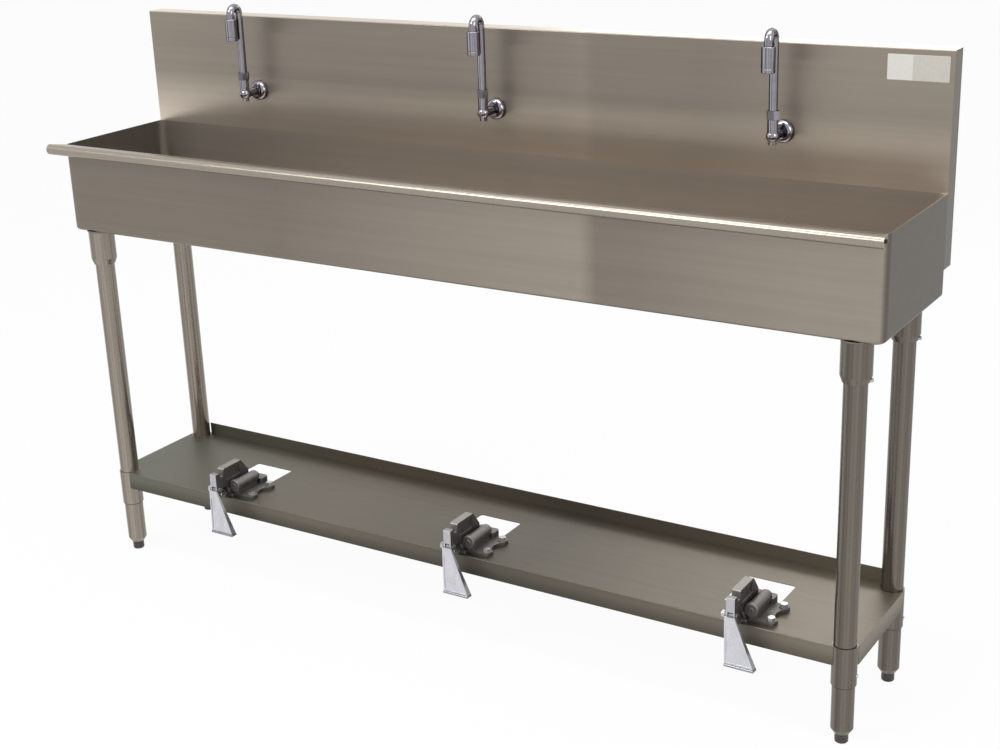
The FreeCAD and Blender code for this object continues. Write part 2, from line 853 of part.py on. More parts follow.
def valve_web():
    """The arm with its two ears round the pin, the slot for the pedal's knuckle and side pockets."""
    half = cheek_width / 2
    boss_end = vec(-half - pin_boss_height, 0, 0)
    ears = rod(web_front, vec(-half, 0, 0), vec(half, 0, 0))
    pin_boss = rod(pin_boss_radius, boss_end, vec(-half, 0, 0))
    slot_half = knuckle_width / 2 + ear_gap
    slot_top = knuckle_radius + web_clear
    cuts = [
        block(-slot_half, slot_half, -web_front, bonnet_front + web_border, -web_front, slot_top),
        rod(pin_radius, boss_end, vec(half, 0, 0)),
    ]
    pocket_front = lug_thickness - web_front + notch_width + 2 * notch_slope + web_border
    pocket_rear = web_rear - web_fall - web_border
    for side in (-1, 1):
        face = span(side * half, side * (half - web_pocket))
        pocket = block(*face, pocket_front, pocket_rear, slot_top + web_border, web_top - web_border)
        across = [e for e in pocket.Edges if e.Vertexes[0].X != e.Vertexes[1].X]
        cuts.append(pocket.makeFillet(web_round, across))
    return fused([valve_arm(), ears, pin_boss]).cut(cuts)


def valve_base():
    """The flat foot on the shelf, with a wing that carries the two bolts."""
    low, high = -hinge_rise, base_top
    half = barrel_radius + base_margin
    start = hinge_reach + base_front_gap
    spine = block(-half, half, start, start + base_length, low, high)
    spine = spine.makeFillet(base_round, upright_edges(spine))
    wing = block(0, wing_reach, bolt_ys[0] - wing_margin, bolt_ys[-1] + wing_margin, low, high)
    wing = wing.makeFillet(wing_round, upright_edges(wing, lambda x, y: x > half))
    scallop = vec(wing_reach + scallop_radius - scallop_depth, (bolt_ys[0] + bolt_ys[-1]) / 2, low)
    wing = wing.cut(rod(scallop_radius, scallop, scallop + vec(0, 0, base_thickness)))
    bosses = [
        rod(bolt_boss_radius, vec(bolt_offset, y, low), vec(bolt_offset, y, high + bolt_boss_rise))
        for y in bolt_ys
    ]
    return fused([spine, wing] + bosses)


def valve_ports():
    """The block over the shelf's cut-out with its two downward pipe bosses."""
    y0, y1 = port_y - port_boss_radius, port_y + port_boss_radius
    x0, x1 = -port_boss_radius, port_spacing + port_boss_radius
    body = block(x0, x1, y0, y1, -hinge_rise, base_top + port_block_height)
    body = body.makeFillet(port_block_round, upright_edges(body))
    bosses = [rod(port_boss_radius, vec(x, port_y, base_top), vec(x, port_y, port_mouth)) for x in port_xs]
    return [body] + bosses


def valve_barrel():
    """The round barrel along the plunger's axis, with its domed rear end."""
    axis_z = -plunger_drop
    end = vec(0, port_y - barrel_setback, axis_z)
    return [rod(barrel_radius, vec(0, barrel_front, axis_z), end), Part.makeSphere(barrel_radius, end)]


def valve_chamber():
    """The upper chamber beside the arm: a domed cylinder on a saddle that rises from the foot."""
    front, rear = vec(chamber_x, chamber_front, chamber_z), vec(chamber_x, chamber_rear, chamber_z)
    side = saddle_width / 2
    saddle = block(chamber_x - side, chamber_x + side, chamber_front, chamber_rear, base_top, chamber_z)
    return [rod(chamber_radius, front, rear), Part.makeSphere(chamber_radius, rear), saddle]


def valve_body():
    """The casting: barrel, chamber, arm, ports and foot, with its bores."""
    casting = fused([valve_web(), valve_base()] + valve_barrel() + valve_chamber() + valve_ports())
    bore_end = bonnet_front + plunger_reach + plunger_travel
    bore_start = vec(0, bonnet_front, -plunger_drop)
    cuts = [rod(plunger_radius + slide_clear, bore_start, vec(0, bore_end, -plunger_drop))]
    for x in port_xs:
        cuts.append(rod(port_radius, vec(x, port_y, port_mouth), vec(x, port_y, port_mouth + port_depth)))
    for y in bolt_ys:
        low, high = vec(bolt_offset, y, -hinge_rise), vec(bolt_offset, y, base_top + bolt_boss_rise)
        cuts.append(rod(bolt_radius + bolt_clear, low, high))
    return casting.cut(cuts)


def valve_cap():
    """The round cap that closes the front of the upper chamber."""
    y0, y1 = chamber_front - cap_thickness, chamber_front
    inset = cap_radius - cap_round
    cap = turned([
        (0, y0), *bend((inset, y0), (cap_radius, y0), (cap_radius, y0 + cap_round)),
        (cap_radius, y1), (0, y1),
    ], ALONG_Y)
    return at(cap, chamber_x, 0, chamber_z)


def valve_bonnet():
    """The packing nut that guides the plunger."""
    start = vec(0, bonnet_front, -plunger_drop)
    return chamfered_nut(bonnet_flats, bonnet_height, plunger_radius + slide_clear, start, ALONG_Y)


def plunger():
    """The valve stem that the pedal's heel pushes in: a round nose on a plain shaft."""
    tip = knuckle_radius + collar_gap
    tail = bonnet_front + plunger_reach
    shape = turned([
        *bend((0, tip), (plunger_radius, tip), (plunger_radius, tip + plunger_nose)),
        (plunger_radius, tail), (0, tail),
    ], ALONG_Y)
    return at(shape, 0, 0, -plunger_drop)


def hinge_pin():
    """The pedal's pin: a plain shaft with a round head on the right."""
    half = cheek_width / 2
    tail = -half - pin_boss_height - pin_nut_height - pin_tail
    shaft = rod(pin_radius, vec(tail, 0, 0), vec(half, 0, 0))
    head = rod(pin_head_radius, vec(half, 0, 0), vec(half + pin_head_height, 0, 0))
    return fused([shaft, head])


def hinge_nut():
    """The nut on the pin's left end."""
    start = vec(-cheek_width / 2 - pin_boss_height - pin_nut_height, 0, 0)
    return chamfered_nut(pin_nut_flats, pin_nut_height, pin_radius, start, ALONG_X)


def valve_bolt(x, y):
    """A hexagonal bolt through the casting's foot and the shelf, with its nut below."""
    seat = vec(x + bolt_offset, hinge_y + y, shelf_top_z + base_thickness + bolt_boss_rise)
    nut_seat = vec(seat.x, seat.y, shelf_under_z - bolt_nut_height)
    head = hexagon(bolt_head_flats, bolt_head_height, seat, ALONG_Z)
    shaft = rod(bolt_radius, nut_seat - vec(0, 0, bolt_tail), seat)
    nut = chamfered_nut(bolt_head_flats, bolt_nut_height, bolt_radius, nut_seat, ALONG_Z)
    return [fused([head, shaft]), nut]


# ---------------------------------------------------------------------------
# Pedal
# ---------------------------------------------------------------------------

pad_low = -pad_length
pad_face = -web_front - pad_gap - pad_skin


def pad_flare(z):
    """Where the pad's face, left and right edges and side depth are at a height below the pin."""
    share = (pad_top_rise - z) / (pad_top_rise - pad_low)
    face = pad_face - pad_lean * share
    left = -pad_top_width / 2 * (1 - share) + pad_bottom_left * share
    width = pad_top_width + (pad_bottom_width - pad_top_width) * share
    depth = pad_side_top + (pad_side_bottom - pad_side_top) * share
    return face, left, left + width, depth


def pad_section(z, inset, front, back):
    """A level rectangle across the pad, used as one end of a loft."""
    _, left, right, _ = pad_flare(z)
    x0, x1 = left + inset, right - inset
    corners = [vec(x0, front, z), vec(x1, front, z), vec(x1, back, z), vec(x0, back, z)]
    return Part.makePolygon(corners + [corners[0]])


def pad_loft(top_z, low_z, inset, front_offset, back_offset=None):
    """A body that follows the pad's flare, from a front offset to a back offset off its face."""
    ends = []
    for z in (top_z, low_z):
        face, _, _, depth = pad_flare(z)
        back = depth if back_offset is None else back_offset
        ends.append(pad_section(z, inset, face + front_offset, face + back))
    return Part.makeLoft(ends, True, True)


def pad():
    """The dished toe pad: a flared shell with side walls, a face panel and a bottom lip."""
    shell = pad_loft(pad_top_rise, pad_low, 0, 0)
    hollow_top, hollow_low = pad_top_rise - pad_hollow_drop, pad_low + pad_skin
    hollow = pad_loft(hollow_top, hollow_low, pad_skin, pad_skin, pad_side_bottom + pad_skin)
    panel_top = pad_top_rise - pad_panel_drop
    panel_low = pad_low + pad_lip_height + pad_border
    panel = pad_loft(panel_top, panel_low, pad_border, -pad_recess, pad_recess)
    face, left, right, _ = pad_flare(pad_low)
    lip = block(left, right, face - pad_lip, face + pad_skin, pad_low, pad_low + pad_lip_height)
    lip = lip.makeFillet(pad_lip_round, edges_along_x(lip, face - pad_lip, pad_low + pad_lip_height))
    return fused([shell.cut(hollow).cut(panel), lip])


def pedal():
    """The toe pedal: the pad in front, and behind it a heel that meets the plunger."""
    half = knuckle_width / 2
    front = pad_face + pad_skin / 2
    heel = prism([
        vec(-half, front, 0), vec(-half, front, -heel_depth),
        vec(-half, knuckle_radius - heel_chamfer, -heel_depth),
        vec(-half, knuckle_radius, heel_chamfer - heel_depth), vec(-half, knuckle_radius, 0),
    ], vec(knuckle_width, 0, 0))
    knuckle = rod(knuckle_radius, vec(-half, 0, 0), vec(half, 0, 0))
    return fused([pad(), heel, knuckle]).cut(rod(pin_radius + slide_clear, vec(-half, 0, 0), vec(half, 0, 0)))


# ---------------------------------------------------------------------------
# Build every node
# ---------------------------------------------------------------------------

export("bowl", bowl())
export("rolled_rim", rolled_rim())
export("backsplash", backsplash())
export("leg_channel_left", leg_channel(-1))
export("leg_channel_right", leg_channel(1))

for name, (x, y) in leg_spots.items():
    export("leg_gusset_" + name, leg_gusset(x, y))
    export("leg_" + name, leg(x, y))
    export("foot_" + name, bullet_foot(x, y))
    export("shelf_socket_" + name, shelf_socket(x, y))

spots = list(leg_spots.values())
export_group("leg_inserts", [leg_insert(x, y) for x, y in spots])
export_group("gusset_screws", [set_screw(x, y, gusset_screw_z, gusset_radius) for x, y in spots])
export_group("shelf_screws", [set_screw(x, y, socket_screw_z, socket_radius) for x, y in spots])
export("undershelf", undershelf())

export("drain_body", drain_body())
export("drain_gasket", drain_gasket())
export("drain_locknut", drain_locknut())
export("strainer_basket", strainer_basket())

for number, x in enumerate(station_xs, 1):
    export("faucet_flange_%d" % number, placed_faucet(faucet_flange(), x))
    export("faucet_body_%d" % number, placed_faucet(faucet_body(), x))
    export("coupling_nut_%d" % number, placed_faucet(coupling_nut(), x))
    export("spout_%d" % number, placed_faucet(spout(), x))
    export("outlet_head_%d" % number, placed_faucet(outlet_head(), x))
export_group("faucet_washers", [placed_faucet(faucet_washer(), x) for x in station_xs])
export_group("faucet_locknuts", [placed_faucet(faucet_locknut(), x) for x in station_xs])

for number, x in enumerate(valve_xs, 1):
    export("valve_body_%d" % number, placed_valve(valve_body(), x))
    export("pedal_%d" % number, placed_valve(pedal(), x))
    export("plunger_%d" % number, placed_valve(plunger(), x))
export_group("valve_caps", [placed_valve(valve_cap(), x) for x in valve_xs])
export_group("valve_bonnets", [placed_valve(valve_bonnet(), x) for x in valve_xs])
export_group("hinge_pins", [placed_valve(hinge_pin(), x) for x in valve_xs])
export_group("hinge_nuts", [placed_valve(hinge_nut(), x) for x in valve_xs])
export_group("valve_bolts", [piece for x in valve_xs for y in bolt_ys for piece in valve_bolt(x, y)])
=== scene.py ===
"""Looks of a free-standing stainless steel hand wash sink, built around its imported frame.

Every length is in metres, in the frame's own axes: +X to the user's right, +Y towards the wall, +Z up.
"""

import logging
import math
from dataclasses import dataclass
from enum import Enum
from typing import Callable, Optional, Protocol, Sequence

import bmesh
import bpy
from mathutils import Matrix, Vector


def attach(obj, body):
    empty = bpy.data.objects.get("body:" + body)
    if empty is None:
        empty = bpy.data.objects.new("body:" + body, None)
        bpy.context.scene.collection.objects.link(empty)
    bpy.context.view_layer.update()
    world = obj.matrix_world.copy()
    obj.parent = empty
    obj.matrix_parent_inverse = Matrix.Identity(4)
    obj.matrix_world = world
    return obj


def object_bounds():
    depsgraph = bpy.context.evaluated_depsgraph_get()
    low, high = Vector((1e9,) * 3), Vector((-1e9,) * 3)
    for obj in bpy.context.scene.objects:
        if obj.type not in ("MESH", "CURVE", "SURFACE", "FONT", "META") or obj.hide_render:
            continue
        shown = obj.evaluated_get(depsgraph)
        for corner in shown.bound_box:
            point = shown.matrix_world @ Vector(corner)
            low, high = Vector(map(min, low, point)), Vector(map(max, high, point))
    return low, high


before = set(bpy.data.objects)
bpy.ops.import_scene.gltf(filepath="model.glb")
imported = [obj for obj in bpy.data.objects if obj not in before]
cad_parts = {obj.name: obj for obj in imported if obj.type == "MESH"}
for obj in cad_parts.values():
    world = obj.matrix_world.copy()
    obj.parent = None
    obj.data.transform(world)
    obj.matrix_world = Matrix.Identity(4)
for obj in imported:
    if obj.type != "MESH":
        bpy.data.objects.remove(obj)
cad_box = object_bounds()

log = logging.getLogger("hand_wash_sink")
MM = 0.001

Point = tuple[float, float, float]
Span = tuple[float, float]
Socket = bpy.types.NodeSocket

RIGHTWARD = (1.0, 0.0, 0.0)
FRONTWARD = (0.0, -1.0, 0.0)
UPWARD = (0.0, 0.0, 1.0)
WHOLE = (0.0, 1.0)
FALLING = (1.0, 0.0)
SUNK = 0.05 * MM


# ---------------------------------------------------------------------------
# Names shared with the frame
# ---------------------------------------------------------------------------

class Slot(Enum):
    """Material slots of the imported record."""

    SHEET = "stainless_sheet"
    TUBE = "stainless_tube"
    DRAIN = "drain_steel"
    CHROME = "faucet_chrome"
    CASTING = "valve_casting"
    BRIGHT = "bright_steel"
    RUBBER = "black_rubber"


class Corner(Enum):
    """The four legs, by the signs of their places along X and Y."""

    FRONT_LEFT = (-1, -1)
    FRONT_RIGHT = (1, -1)
    REAR_LEFT = (-1, 1)
    REAR_RIGHT = (1, 1)


class Grain(Enum):
    """Which way a sheet was brushed."""

    ALONG_X = (1.5, 90.0, 90.0)
    ALONG_Z = (90.0, 90.0, 1.5)


class Axis(Enum):
    """The line that a turned shape stands along."""

    X = 0
    Y = 1
    Z = 2

    def place(self, at: Point, across: float, over: float, along: float) -> Point:
        """Give a point from its two offsets off the axis and its one along it.

        Args:
            at: Where the axis starts.
            across: First offset off the axis.
            over: Second offset off the axis.
            along: Offset along the axis.

        Returns:
            The point in the frame.
        """
        offset = [across, over]
        offset.insert(self.value, along)
        return at[0] + offset[0], at[1] + offset[1], at[2] + offset[2]


STATIONS = (1, 2, 3)
STATION_PITCH = 609.6 * MM


def station_x(station: int) -> float:
    """Give a station's place along the trough."""
    return (station - 2) * STATION_PITCH


# ---------------------------------------------------------------------------
# Shader graphs
# ---------------------------------------------------------------------------

class Graph:
    """A material and the few node patterns that the finishes share."""

    def __init__(self, name: str) -> None:
        """Start a material with one principled shader.

        Args:
            name: The material's name.
        """
        self.material = bpy.data.materials.new(name)
        self.material.use_nodes = True
        self.tree = self.material.node_tree
        self.shader = self.tree.nodes["Principled BSDF"]

    def node(self, kind: str, **settings: object) -> bpy.types.Node:
        """Add a node and set its attributes.

        Args:
            kind: The node's type name, without its ShaderNode prefix.
            **settings: Attributes of the node.

        Returns:
            The new node.
        """
        made = self.tree.nodes.new("ShaderNode" + kind)
        for key, value in settings.items():
            setattr(made, key, value)
        return made

    def link(self, source: Socket, target: Socket) -> None:
        """Join two sockets."""
        self.tree.links.new(source, target)

    def place(self, scale: Point = (1.0, 1.0, 1.0), shift: Point = (0.0, 0.0, 0.0)) -> Socket:
        """Give the piece's own coordinates, stretched and moved.

        Args:
            scale: Factor along each axis.
            shift: Offset along each axis.

        Returns:
            The vector socket.
        """
        where = self.node("TexCoord")
        mapping = self.node("Mapping")
        mapping.inputs["Scale"].default_value = scale
        mapping.inputs["Location"].default_value = shift
        self.link(where.outputs["Object"], mapping.inputs["Vector"])
        return mapping.outputs["Vector"]

    def along(self, axis: Axis) -> Socket:
        """Give the piece's own coordinate along one axis.

        Args:
            axis: The axis to read along.

        Returns:
            The value socket, in metres.
        """
        split = self.node("SeparateXYZ")
        self.link(self.place(), split.inputs[0])
        return split.outputs[axis.value]

    def normal(self) -> Socket:
        """Give the surface's own normal."""
        return self.node("TexCoord").outputs["Normal"]

    def towards(self, direction: Point) -> Socket:
        """Give how far the surface faces a direction, from -1 to 1.

        Args:
            direction: The way to compare with.

        Returns:
            The value socket.
        """
        made = self.node("VectorMath", operation="DOT_PRODUCT")
        self.link(self.normal(), made.inputs[0])
        made.inputs[1].default_value = Vector(direction).normalized()
        return made.outputs["Value"]

    def noise(self, vector: Socket, scale: float, detail: float = 3.0, rough: float = 0.55) -> Socket:
        """Give a fractal noise value.

        Args:
            vector: Where the noise is read.
            scale: Cells per metre.
            detail: Octaves.
            rough: Weight of the finer octaves.

        Returns:
            The value socket, from 0 to 1.
        """
        made = self.node("TexNoise")
        made.inputs["Scale"].default_value = scale
        made.inputs["Detail"].default_value = detail
        made.inputs["Roughness"].default_value = rough
        self.link(vector, made.inputs["Vector"])
        return made.outputs["Fac"]

    def fit(self, value: Socket, source: Span, target: Span) -> Socket:
        """Map a value from one range to another.

        Args:
            value: The value socket.
            source: Range that the value covers.
            target: Range that it is spread over.

        Returns:
            The mapped value socket.
        """
        made = self.node("MapRange")
        made.inputs["From Min"].default_value, made.inputs["From Max"].default_value = source
        made.inputs["To Min"].default_value, made.inputs["To Max"].default_value = target
        self.link(value, made.inputs["Value"])
        return made.outputs["Result"]

    def combine(self, operation: str, a: Socket, b: Socket | float) -> Socket:
        """Join two values by a math node.

        Args:
            operation: The math node's operation.
            a: First value.
            b: Second value, or a plain number.

        Returns:
            The result socket.
        """
        made = self.node("Math", operation=operation)
        self.link(a, made.inputs[0])
        if isinstance(b, float):
            made.inputs[1].default_value = b
        else:
            self.link(b, made.inputs[1])
        return made.outputs[0]

    def mixed(self, share: Socket, low: Socket | Point, high: Socket | Point) -> Socket:
        """Blend two colours by a share from 0 to 1.

        Args:
            share: The share of the second colour.
            low: Colour at 0, as a socket or a plain colour.
            high: Colour at 1, as a socket or a plain colour.

        Returns:
            The colour socket.
        """
        made = self.node("Mix", data_type="RGBA")
        self.link(share, made.inputs[0])
        for slot, colour in ((6, low), (7, high)):
            if isinstance(colour, tuple):
                made.inputs[slot].default_value = (*colour, 1.0)
            else:
                self.link(colour, made.inputs[slot])
        return made.outputs[2]

    def times(self, colour: Socket, gain: Socket) -> Socket:
        """Scale a colour by a value.

        Args:
            colour: The colour.
            gain: The factor.

        Returns:
            The scaled colour socket.
        """
        made = self.node("VectorMath", operation="SCALE")
        self.link(colour, made.inputs[0])
        self.link(gain, made.inputs["Scale"])
        return made.outputs[0]

    def bump(self, height: Socket, distance: float, strength: float,
             under: Optional[Socket] = None) -> Socket:
        """Raise the surface by a value.

        Args:
            height: The value socket.
            distance: Height of a value of 1.
            strength: Share of the effect.
            under: Normal of a coarser bump below this one.

        Returns:
            The normal socket.
        """
        made = self.node("Bump")
        made.inputs["Strength"].default_value = strength
        made.inputs["Distance"].default_value = distance
        self.link(height, made.inputs["Height"])
        if under is not None:
            self.link(under, made.inputs["Normal"])
        return made.outputs["Normal"]

    def softened(self, radius: float) -> Socket:
        """Give a normal that rounds sharp edges by a radius.

        Args:
            radius: The rounding's radius.

        Returns:
            The normal socket.
        """
        made = self.node("Bevel", samples=4)
        made.inputs["Radius"].default_value = radius
        return made.outputs["Normal"]

    def grain_tangent(self) -> Socket:
        """Give a tangent that lies along the brushing of level and upright sheets.

        Returns:
            The tangent socket.
        """
        cross = self.node("VectorMath", operation="CROSS_PRODUCT")
        cross.inputs[1].default_value = (0.0, 0.2, 1.0)
        self.link(self.normal(), cross.inputs[0])
        return cross.outputs[0]

    def wired(self, colour: Socket, rough: Socket, normal: Socket, **values: float) -> bpy.types.Material:
        """Link the shader's main sockets and set plain numbers on others.

        Args:
            colour: The base colour.
            rough: The roughness.
            normal: The normal.
            **values: Plain numbers by socket name.

        Returns:
            The finished material.
        """
        self.link(colour, self.shader.inputs["Base Color"])
        self.link(rough, self.shader.inputs["Roughness"])
        self.link(normal, self.shader.inputs["Normal"])
        self.set(**values)
        return self.material

    def set(self, **values: float) -> None:
        """Set plain numbers on the shader's own sockets."""
        for name, value in values.items():
            self.shader.inputs[name].default_value = value

    def cloudy(self, share: Socket, colour: Point, less: float, more: float) -> Socket:
        """Vary a colour between a darker and a lighter one.

        Args:
            share: 0 for the darker and 1 for the lighter.
            colour: The plain colour.
            less: Part taken off at 0.
            more: Part added at 1.

        Returns:
            The colour socket.
        """
        return self.mixed(share, scaled(colour, 1 - less), scaled(colour, 1 + more))


def scaled(colour: Point, factor: float) -> Point:
    """Give a colour made lighter or darker by a factor."""
    return tuple(min(1.0, c * factor) for c in colour)


# ---------------------------------------------------------------------------
# Painted light and shade that a finish takes from where a surface lies
# ---------------------------------------------------------------------------

class Tone(Protocol):
    """Painted light or shade: something that makes a finish lighter or darker in places."""

    def gain(self, graph: Graph) -> Socket:
        """Give the factor on the finish's colour."""


@dataclass(frozen=True)
class Fade:
    """A tone that changes evenly along an axis, or in one soft step where its span is short."""

    axis: Axis
    span: Span
    ends: Span

    def gain(self, graph: Graph) -> Socket:
        """Give the factor on the finish's colour."""
        return graph.fit(graph.along(self.axis), self.span, self.ends)


@dataclass(frozen=True)
class PaintedReflectionBands:
    """Painted reflection and shade along a sheet: a tone that drifts along the sheet and steps sharply in
    places.
    """

    stops: tuple[Span, ...]

    def gain(self, graph: Graph) -> Socket:
        """Give the factor on the finish's colour.

        Args:
            graph: The finish's graph.

        Returns:
            The value socket.
        """
        ramp = graph.node("ValToRGB")
        stops = ramp.color_ramp.elements
        low, high = -cad_box[1].x, cad_box[1].x
        while len(stops) < len(self.stops):
            stops.new(0.5)
        for stop, (place, factor) in zip(stops, self.stops):
            stop.position = (place - low) / (high - low)
            stop.color = (factor / 2, factor / 2, factor / 2, 1.0)
        graph.link(graph.fit(graph.along(Axis.X), (low, high), WHOLE), ramp.inputs[0])
        return graph.combine("MULTIPLY", ramp.outputs["Color"], 2.0)


@dataclass(frozen=True)
class OnFront:
    """A tone that only the front and the top of a sheet show."""

    tone: Tone

    def gain(self, graph: Graph) -> Socket:
        """Give the factor on the finish's colour.

        Args:
            graph: The finish's graph.

        Returns:
            The value socket.
        """
        change = graph.combine("SUBTRACT", self.tone.gain(graph), 1.0)
        shown = graph.fit(graph.towards((0.0, -1.0, 1.0)), (0.0, 0.6), WHOLE)
        return graph.combine("ADD", graph.combine("MULTIPLY", change, shown), 1.0)


@dataclass(frozen=True)
class Hollow:
    """The part of a vessel's sheet that looks inward."""

    middle: Point

    def share(self, graph: Graph) -> Socket:
        """Give 1 on the faces that look inward, and 0 on the others.

        Args:
            graph: The finish's graph.

        Returns:
            The value socket.
        """
        away = graph.place(shift=tuple(-c for c in self.middle))
        dot = graph.node("VectorMath", operation="DOT_PRODUCT")
        graph.link(away, dot.inputs[0])
        graph.link(graph.normal(), dot.inputs[1])
        return graph.fit(dot.outputs["Value"], (-2 * MM, 2 * MM), FALLING)


@dataclass(frozen=True)
class Facing:
    """Painted light for the faces that look a given way: lighter or darker by which way a face turns."""

    direction: Point
    span: Span
    ends: Span

    def gain(self, graph: Graph) -> Socket:
        """Give the factor on the finish's colour."""
        return graph.fit(graph.towards(self.direction), self.span, self.ends)


@dataclass(frozen=True)
class PaintedReflectionStripes:
    """Painted reflection stripes round a drawn tube: lengthwise light and dark bands, set by which way each
    face turns.
    """

    share: float
    tightness: float = 2.4
    seed: float = 0.0

    def gain(self, graph: Graph) -> Socket:
        """Give the factor on the finish's colour.

        Args:
            graph: The finish's graph.

        Returns:
            The value socket.
        """
        turned = graph.node("Mapping")
        turned.inputs["Scale"].default_value = (self.tightness, self.tightness, 0.4)
        turned.inputs["Location"].default_value = (self.seed, 0.0, 0.0)
        graph.link(graph.normal(), turned.inputs["Vector"])
        band = graph.noise(turned.outputs["Vector"], 1.0, 2.0, 0.6)
        return graph.fit(band, (0.34, 0.66), (1 - self.share, 1 + self.share))


def toned(graph: Graph, colour: Socket, tones: Sequence[Tone]) -> Socket:
    """Apply tones to a colour, one after another.

    Args:
        graph: The finish's graph.
        colour: Colour before them.
        tones: The tones.

    Returns:
        The colour socket after them.
    """
    for tone in tones:
        colour = graph.times(colour, tone.gain(graph))
    return colour


# ---------------------------------------------------------------------------
# Finishes
# ---------------------------------------------------------------------------

@dataclass(frozen=True)
class BrushedSteel:
    """Brushed stainless sheet: long streaks, a fine grain, soft waviness and faint smears."""

    name: str
    colour: Point
    roughness: float = 0.34
    contrast: float = 0.07
    grain: Grain = Grain.ALONG_X
    anisotropy: float = 0.75
    metallic: float = 0.85
    wave_height: float = 0.5 * MM
    left_cast: Optional[Point] = None
    hollow: Optional[Hollow] = None
    # The inward faces' colour is a lighter copy of the sheet's, as painted light; the tones after it paint
    # shade on them.
    inside: Point = (0.53, 0.48, 0.425)
    inside_painted_shade: tuple[Tone, ...] = ()
    tones: tuple[Tone, ...] = ()

    def build(self) -> bpy.types.Material:
        """Wire the finish.

        Returns:
            The finished material.
        """
        graph = Graph(self.name)
        stretch = self.grain.value
        streaks = graph.noise(graph.place(stretch), 0.9, 4.0, 0.6)
        fine = graph.noise(graph.place(tuple(s * 14 for s in stretch), (3.1, 1.7, 0.4)), 1.0, 5.0, 0.75)
        smears = graph.noise(graph.place((1.0, 1.0, 1.0), (0.3, 0.8, 0.1)), 2.3, 3.0, 0.5)
        tone = graph.combine("ADD", graph.combine("MULTIPLY", streaks, 0.6),
                             graph.combine("MULTIPLY", smears, 0.4))
        tone = graph.fit(tone, (0.3, 0.7), WHOLE)
        colour = graph.cloudy(tone, self.colour, self.contrast, self.contrast)
        if self.left_cast is not None:
            end = cad_box[0].x
            leftmost = graph.fit(graph.along(Axis.X), (end, 0.45 * end), (0.8, 0.0))
            colour = graph.mixed(leftmost, colour, self.left_cast)
        colour = toned(graph, colour, self.tones)
        # Inward faces take the lighter inside colour as painted light, then painted shade from the inside
        # tones.
        if self.hollow is not None:
            lit = graph.cloudy(tone, self.inside, self.contrast, self.contrast)
            colour = graph.mixed(self.hollow.share(graph), colour, toned(graph, lit, self.inside_painted_shade))
        rough = graph.fit(fine, (0.3, 0.7), (self.roughness - 0.06, self.roughness + 0.06))
        wave = graph.bump(graph.noise(graph.place(), 2.1, 1.0, 0.4), self.wave_height, 0.6)
        ridged = graph.bump(streaks, 0.06 * MM, 0.18, wave)
        graph.link(graph.grain_tangent(), graph.shader.inputs["Tangent"])
        return graph.wired(colour, rough, graph.bump(fine, 0.02 * MM, 0.25, ridged),
                           Metallic=self.metallic, Anisotropic=self.anisotropy)


@dataclass(frozen=True)
class Plated:
    """Plated or turned metal: a smooth mirror with faint ripples, dull spots and tiny scratches."""

    name: str
    colour: Point
    roughness: float = 0.12
    ripple: float = 0.04 * MM
    dulling: float = 0.08
    edge: float = 1.0
    rounding: float = 0.3 * MM
    tones: tuple[Tone, ...] = ()

    def build(self) -> bpy.types.Material:
        """Wire the finish.

        Returns:
            The finished material.
        """
        graph = Graph(self.name)
        cloud = graph.noise(graph.place(), 60.0, 4.0, 0.6)
        scratch = graph.noise(graph.place((900.0, 900.0, 120.0)), 1.0, 3.0, 0.7)
        colour = graph.cloudy(graph.fit(cloud, (0.3, 0.7), WHOLE), self.colour, 0.12, 0.06)
        rough = graph.fit(cloud, (0.35, 0.75), (self.roughness, self.roughness + self.dulling))
        soft = graph.softened(self.rounding)
        wave = graph.bump(graph.noise(graph.place(), 180.0, 1.0, 0.4), self.ripple, 0.5, soft)
        graph.shader.inputs["Specular Tint"].default_value = (self.edge, self.edge, self.edge, 1.0)
        return graph.wired(toned(graph, colour, self.tones), rough, graph.bump(scratch, 0.01 * MM, 0.2, wave),
                           Metallic=1.0)


@dataclass(frozen=True)
class RoughCasting:
    """Sand-cast metal: pitted skin, random lighter mottling and dark flanks, with faces turned up and forward
    lightened as a painted highlight.
    """

    name: str
    dark: Point
    mottle_and_highlight: Point
    roughness: float = 0.5
    rounding: float = 1.0 * MM

    def skin(self, graph: Graph) -> tuple[Socket, Socket, Socket]:
        """Build the cast skin.

        Args:
            graph: The finish's graph.

        Returns:
            The colour, roughness and normal sockets.
        """
        grit = graph.noise(graph.place(), 420.0, 6.0, 0.65)
        patches = graph.noise(graph.place(), 45.0, 4.0, 0.6)
        pits = graph.node("TexVoronoi", feature="SMOOTH_F1")
        pits.inputs["Scale"].default_value = 700.0
        graph.link(graph.place(), pits.inputs["Vector"])
        # Painted highlight: faces turned up and forward take the lighter colour, which random mottling also
        # mixes in.
        top = graph.fit(graph.towards((0.15, -0.45, 1.0)), (0.25, 0.95), WHOLE)
        mottle = graph.combine("MULTIPLY", graph.fit(patches, (0.3, 0.7), (0.0, 0.35)),
                               graph.fit(grit, (0.2, 0.8), (0.5, 1.0)))
        share = graph.combine("MINIMUM", graph.combine("ADD", top, mottle), 1.0)
        colour = graph.mixed(share, self.dark, self.mottle_and_highlight)
        rough = graph.fit(grit, (0.3, 0.7), (self.roughness - 0.08, self.roughness + 0.14))
        coarse = graph.bump(grit, 0.4 * MM, 0.45, graph.softened(self.rounding))
        return colour, rough, graph.bump(pits.outputs["Distance"], 0.25 * MM, 0.3, coarse)

    def painted_highlights(self, graph: Graph, colour: Socket) -> Socket:
        """Give the skin's colour with painted highlights added: a plain casting adds none."""
        return colour

    def build(self) -> bpy.types.Material:
        """Wire the finish.

        Returns:
            The finished material.
        """
        graph = Graph(self.name)
        colour, rough, relief = self.skin(graph)
        return graph.wired(self.painted_highlights(graph, colour), rough, relief, Metallic=0.8)


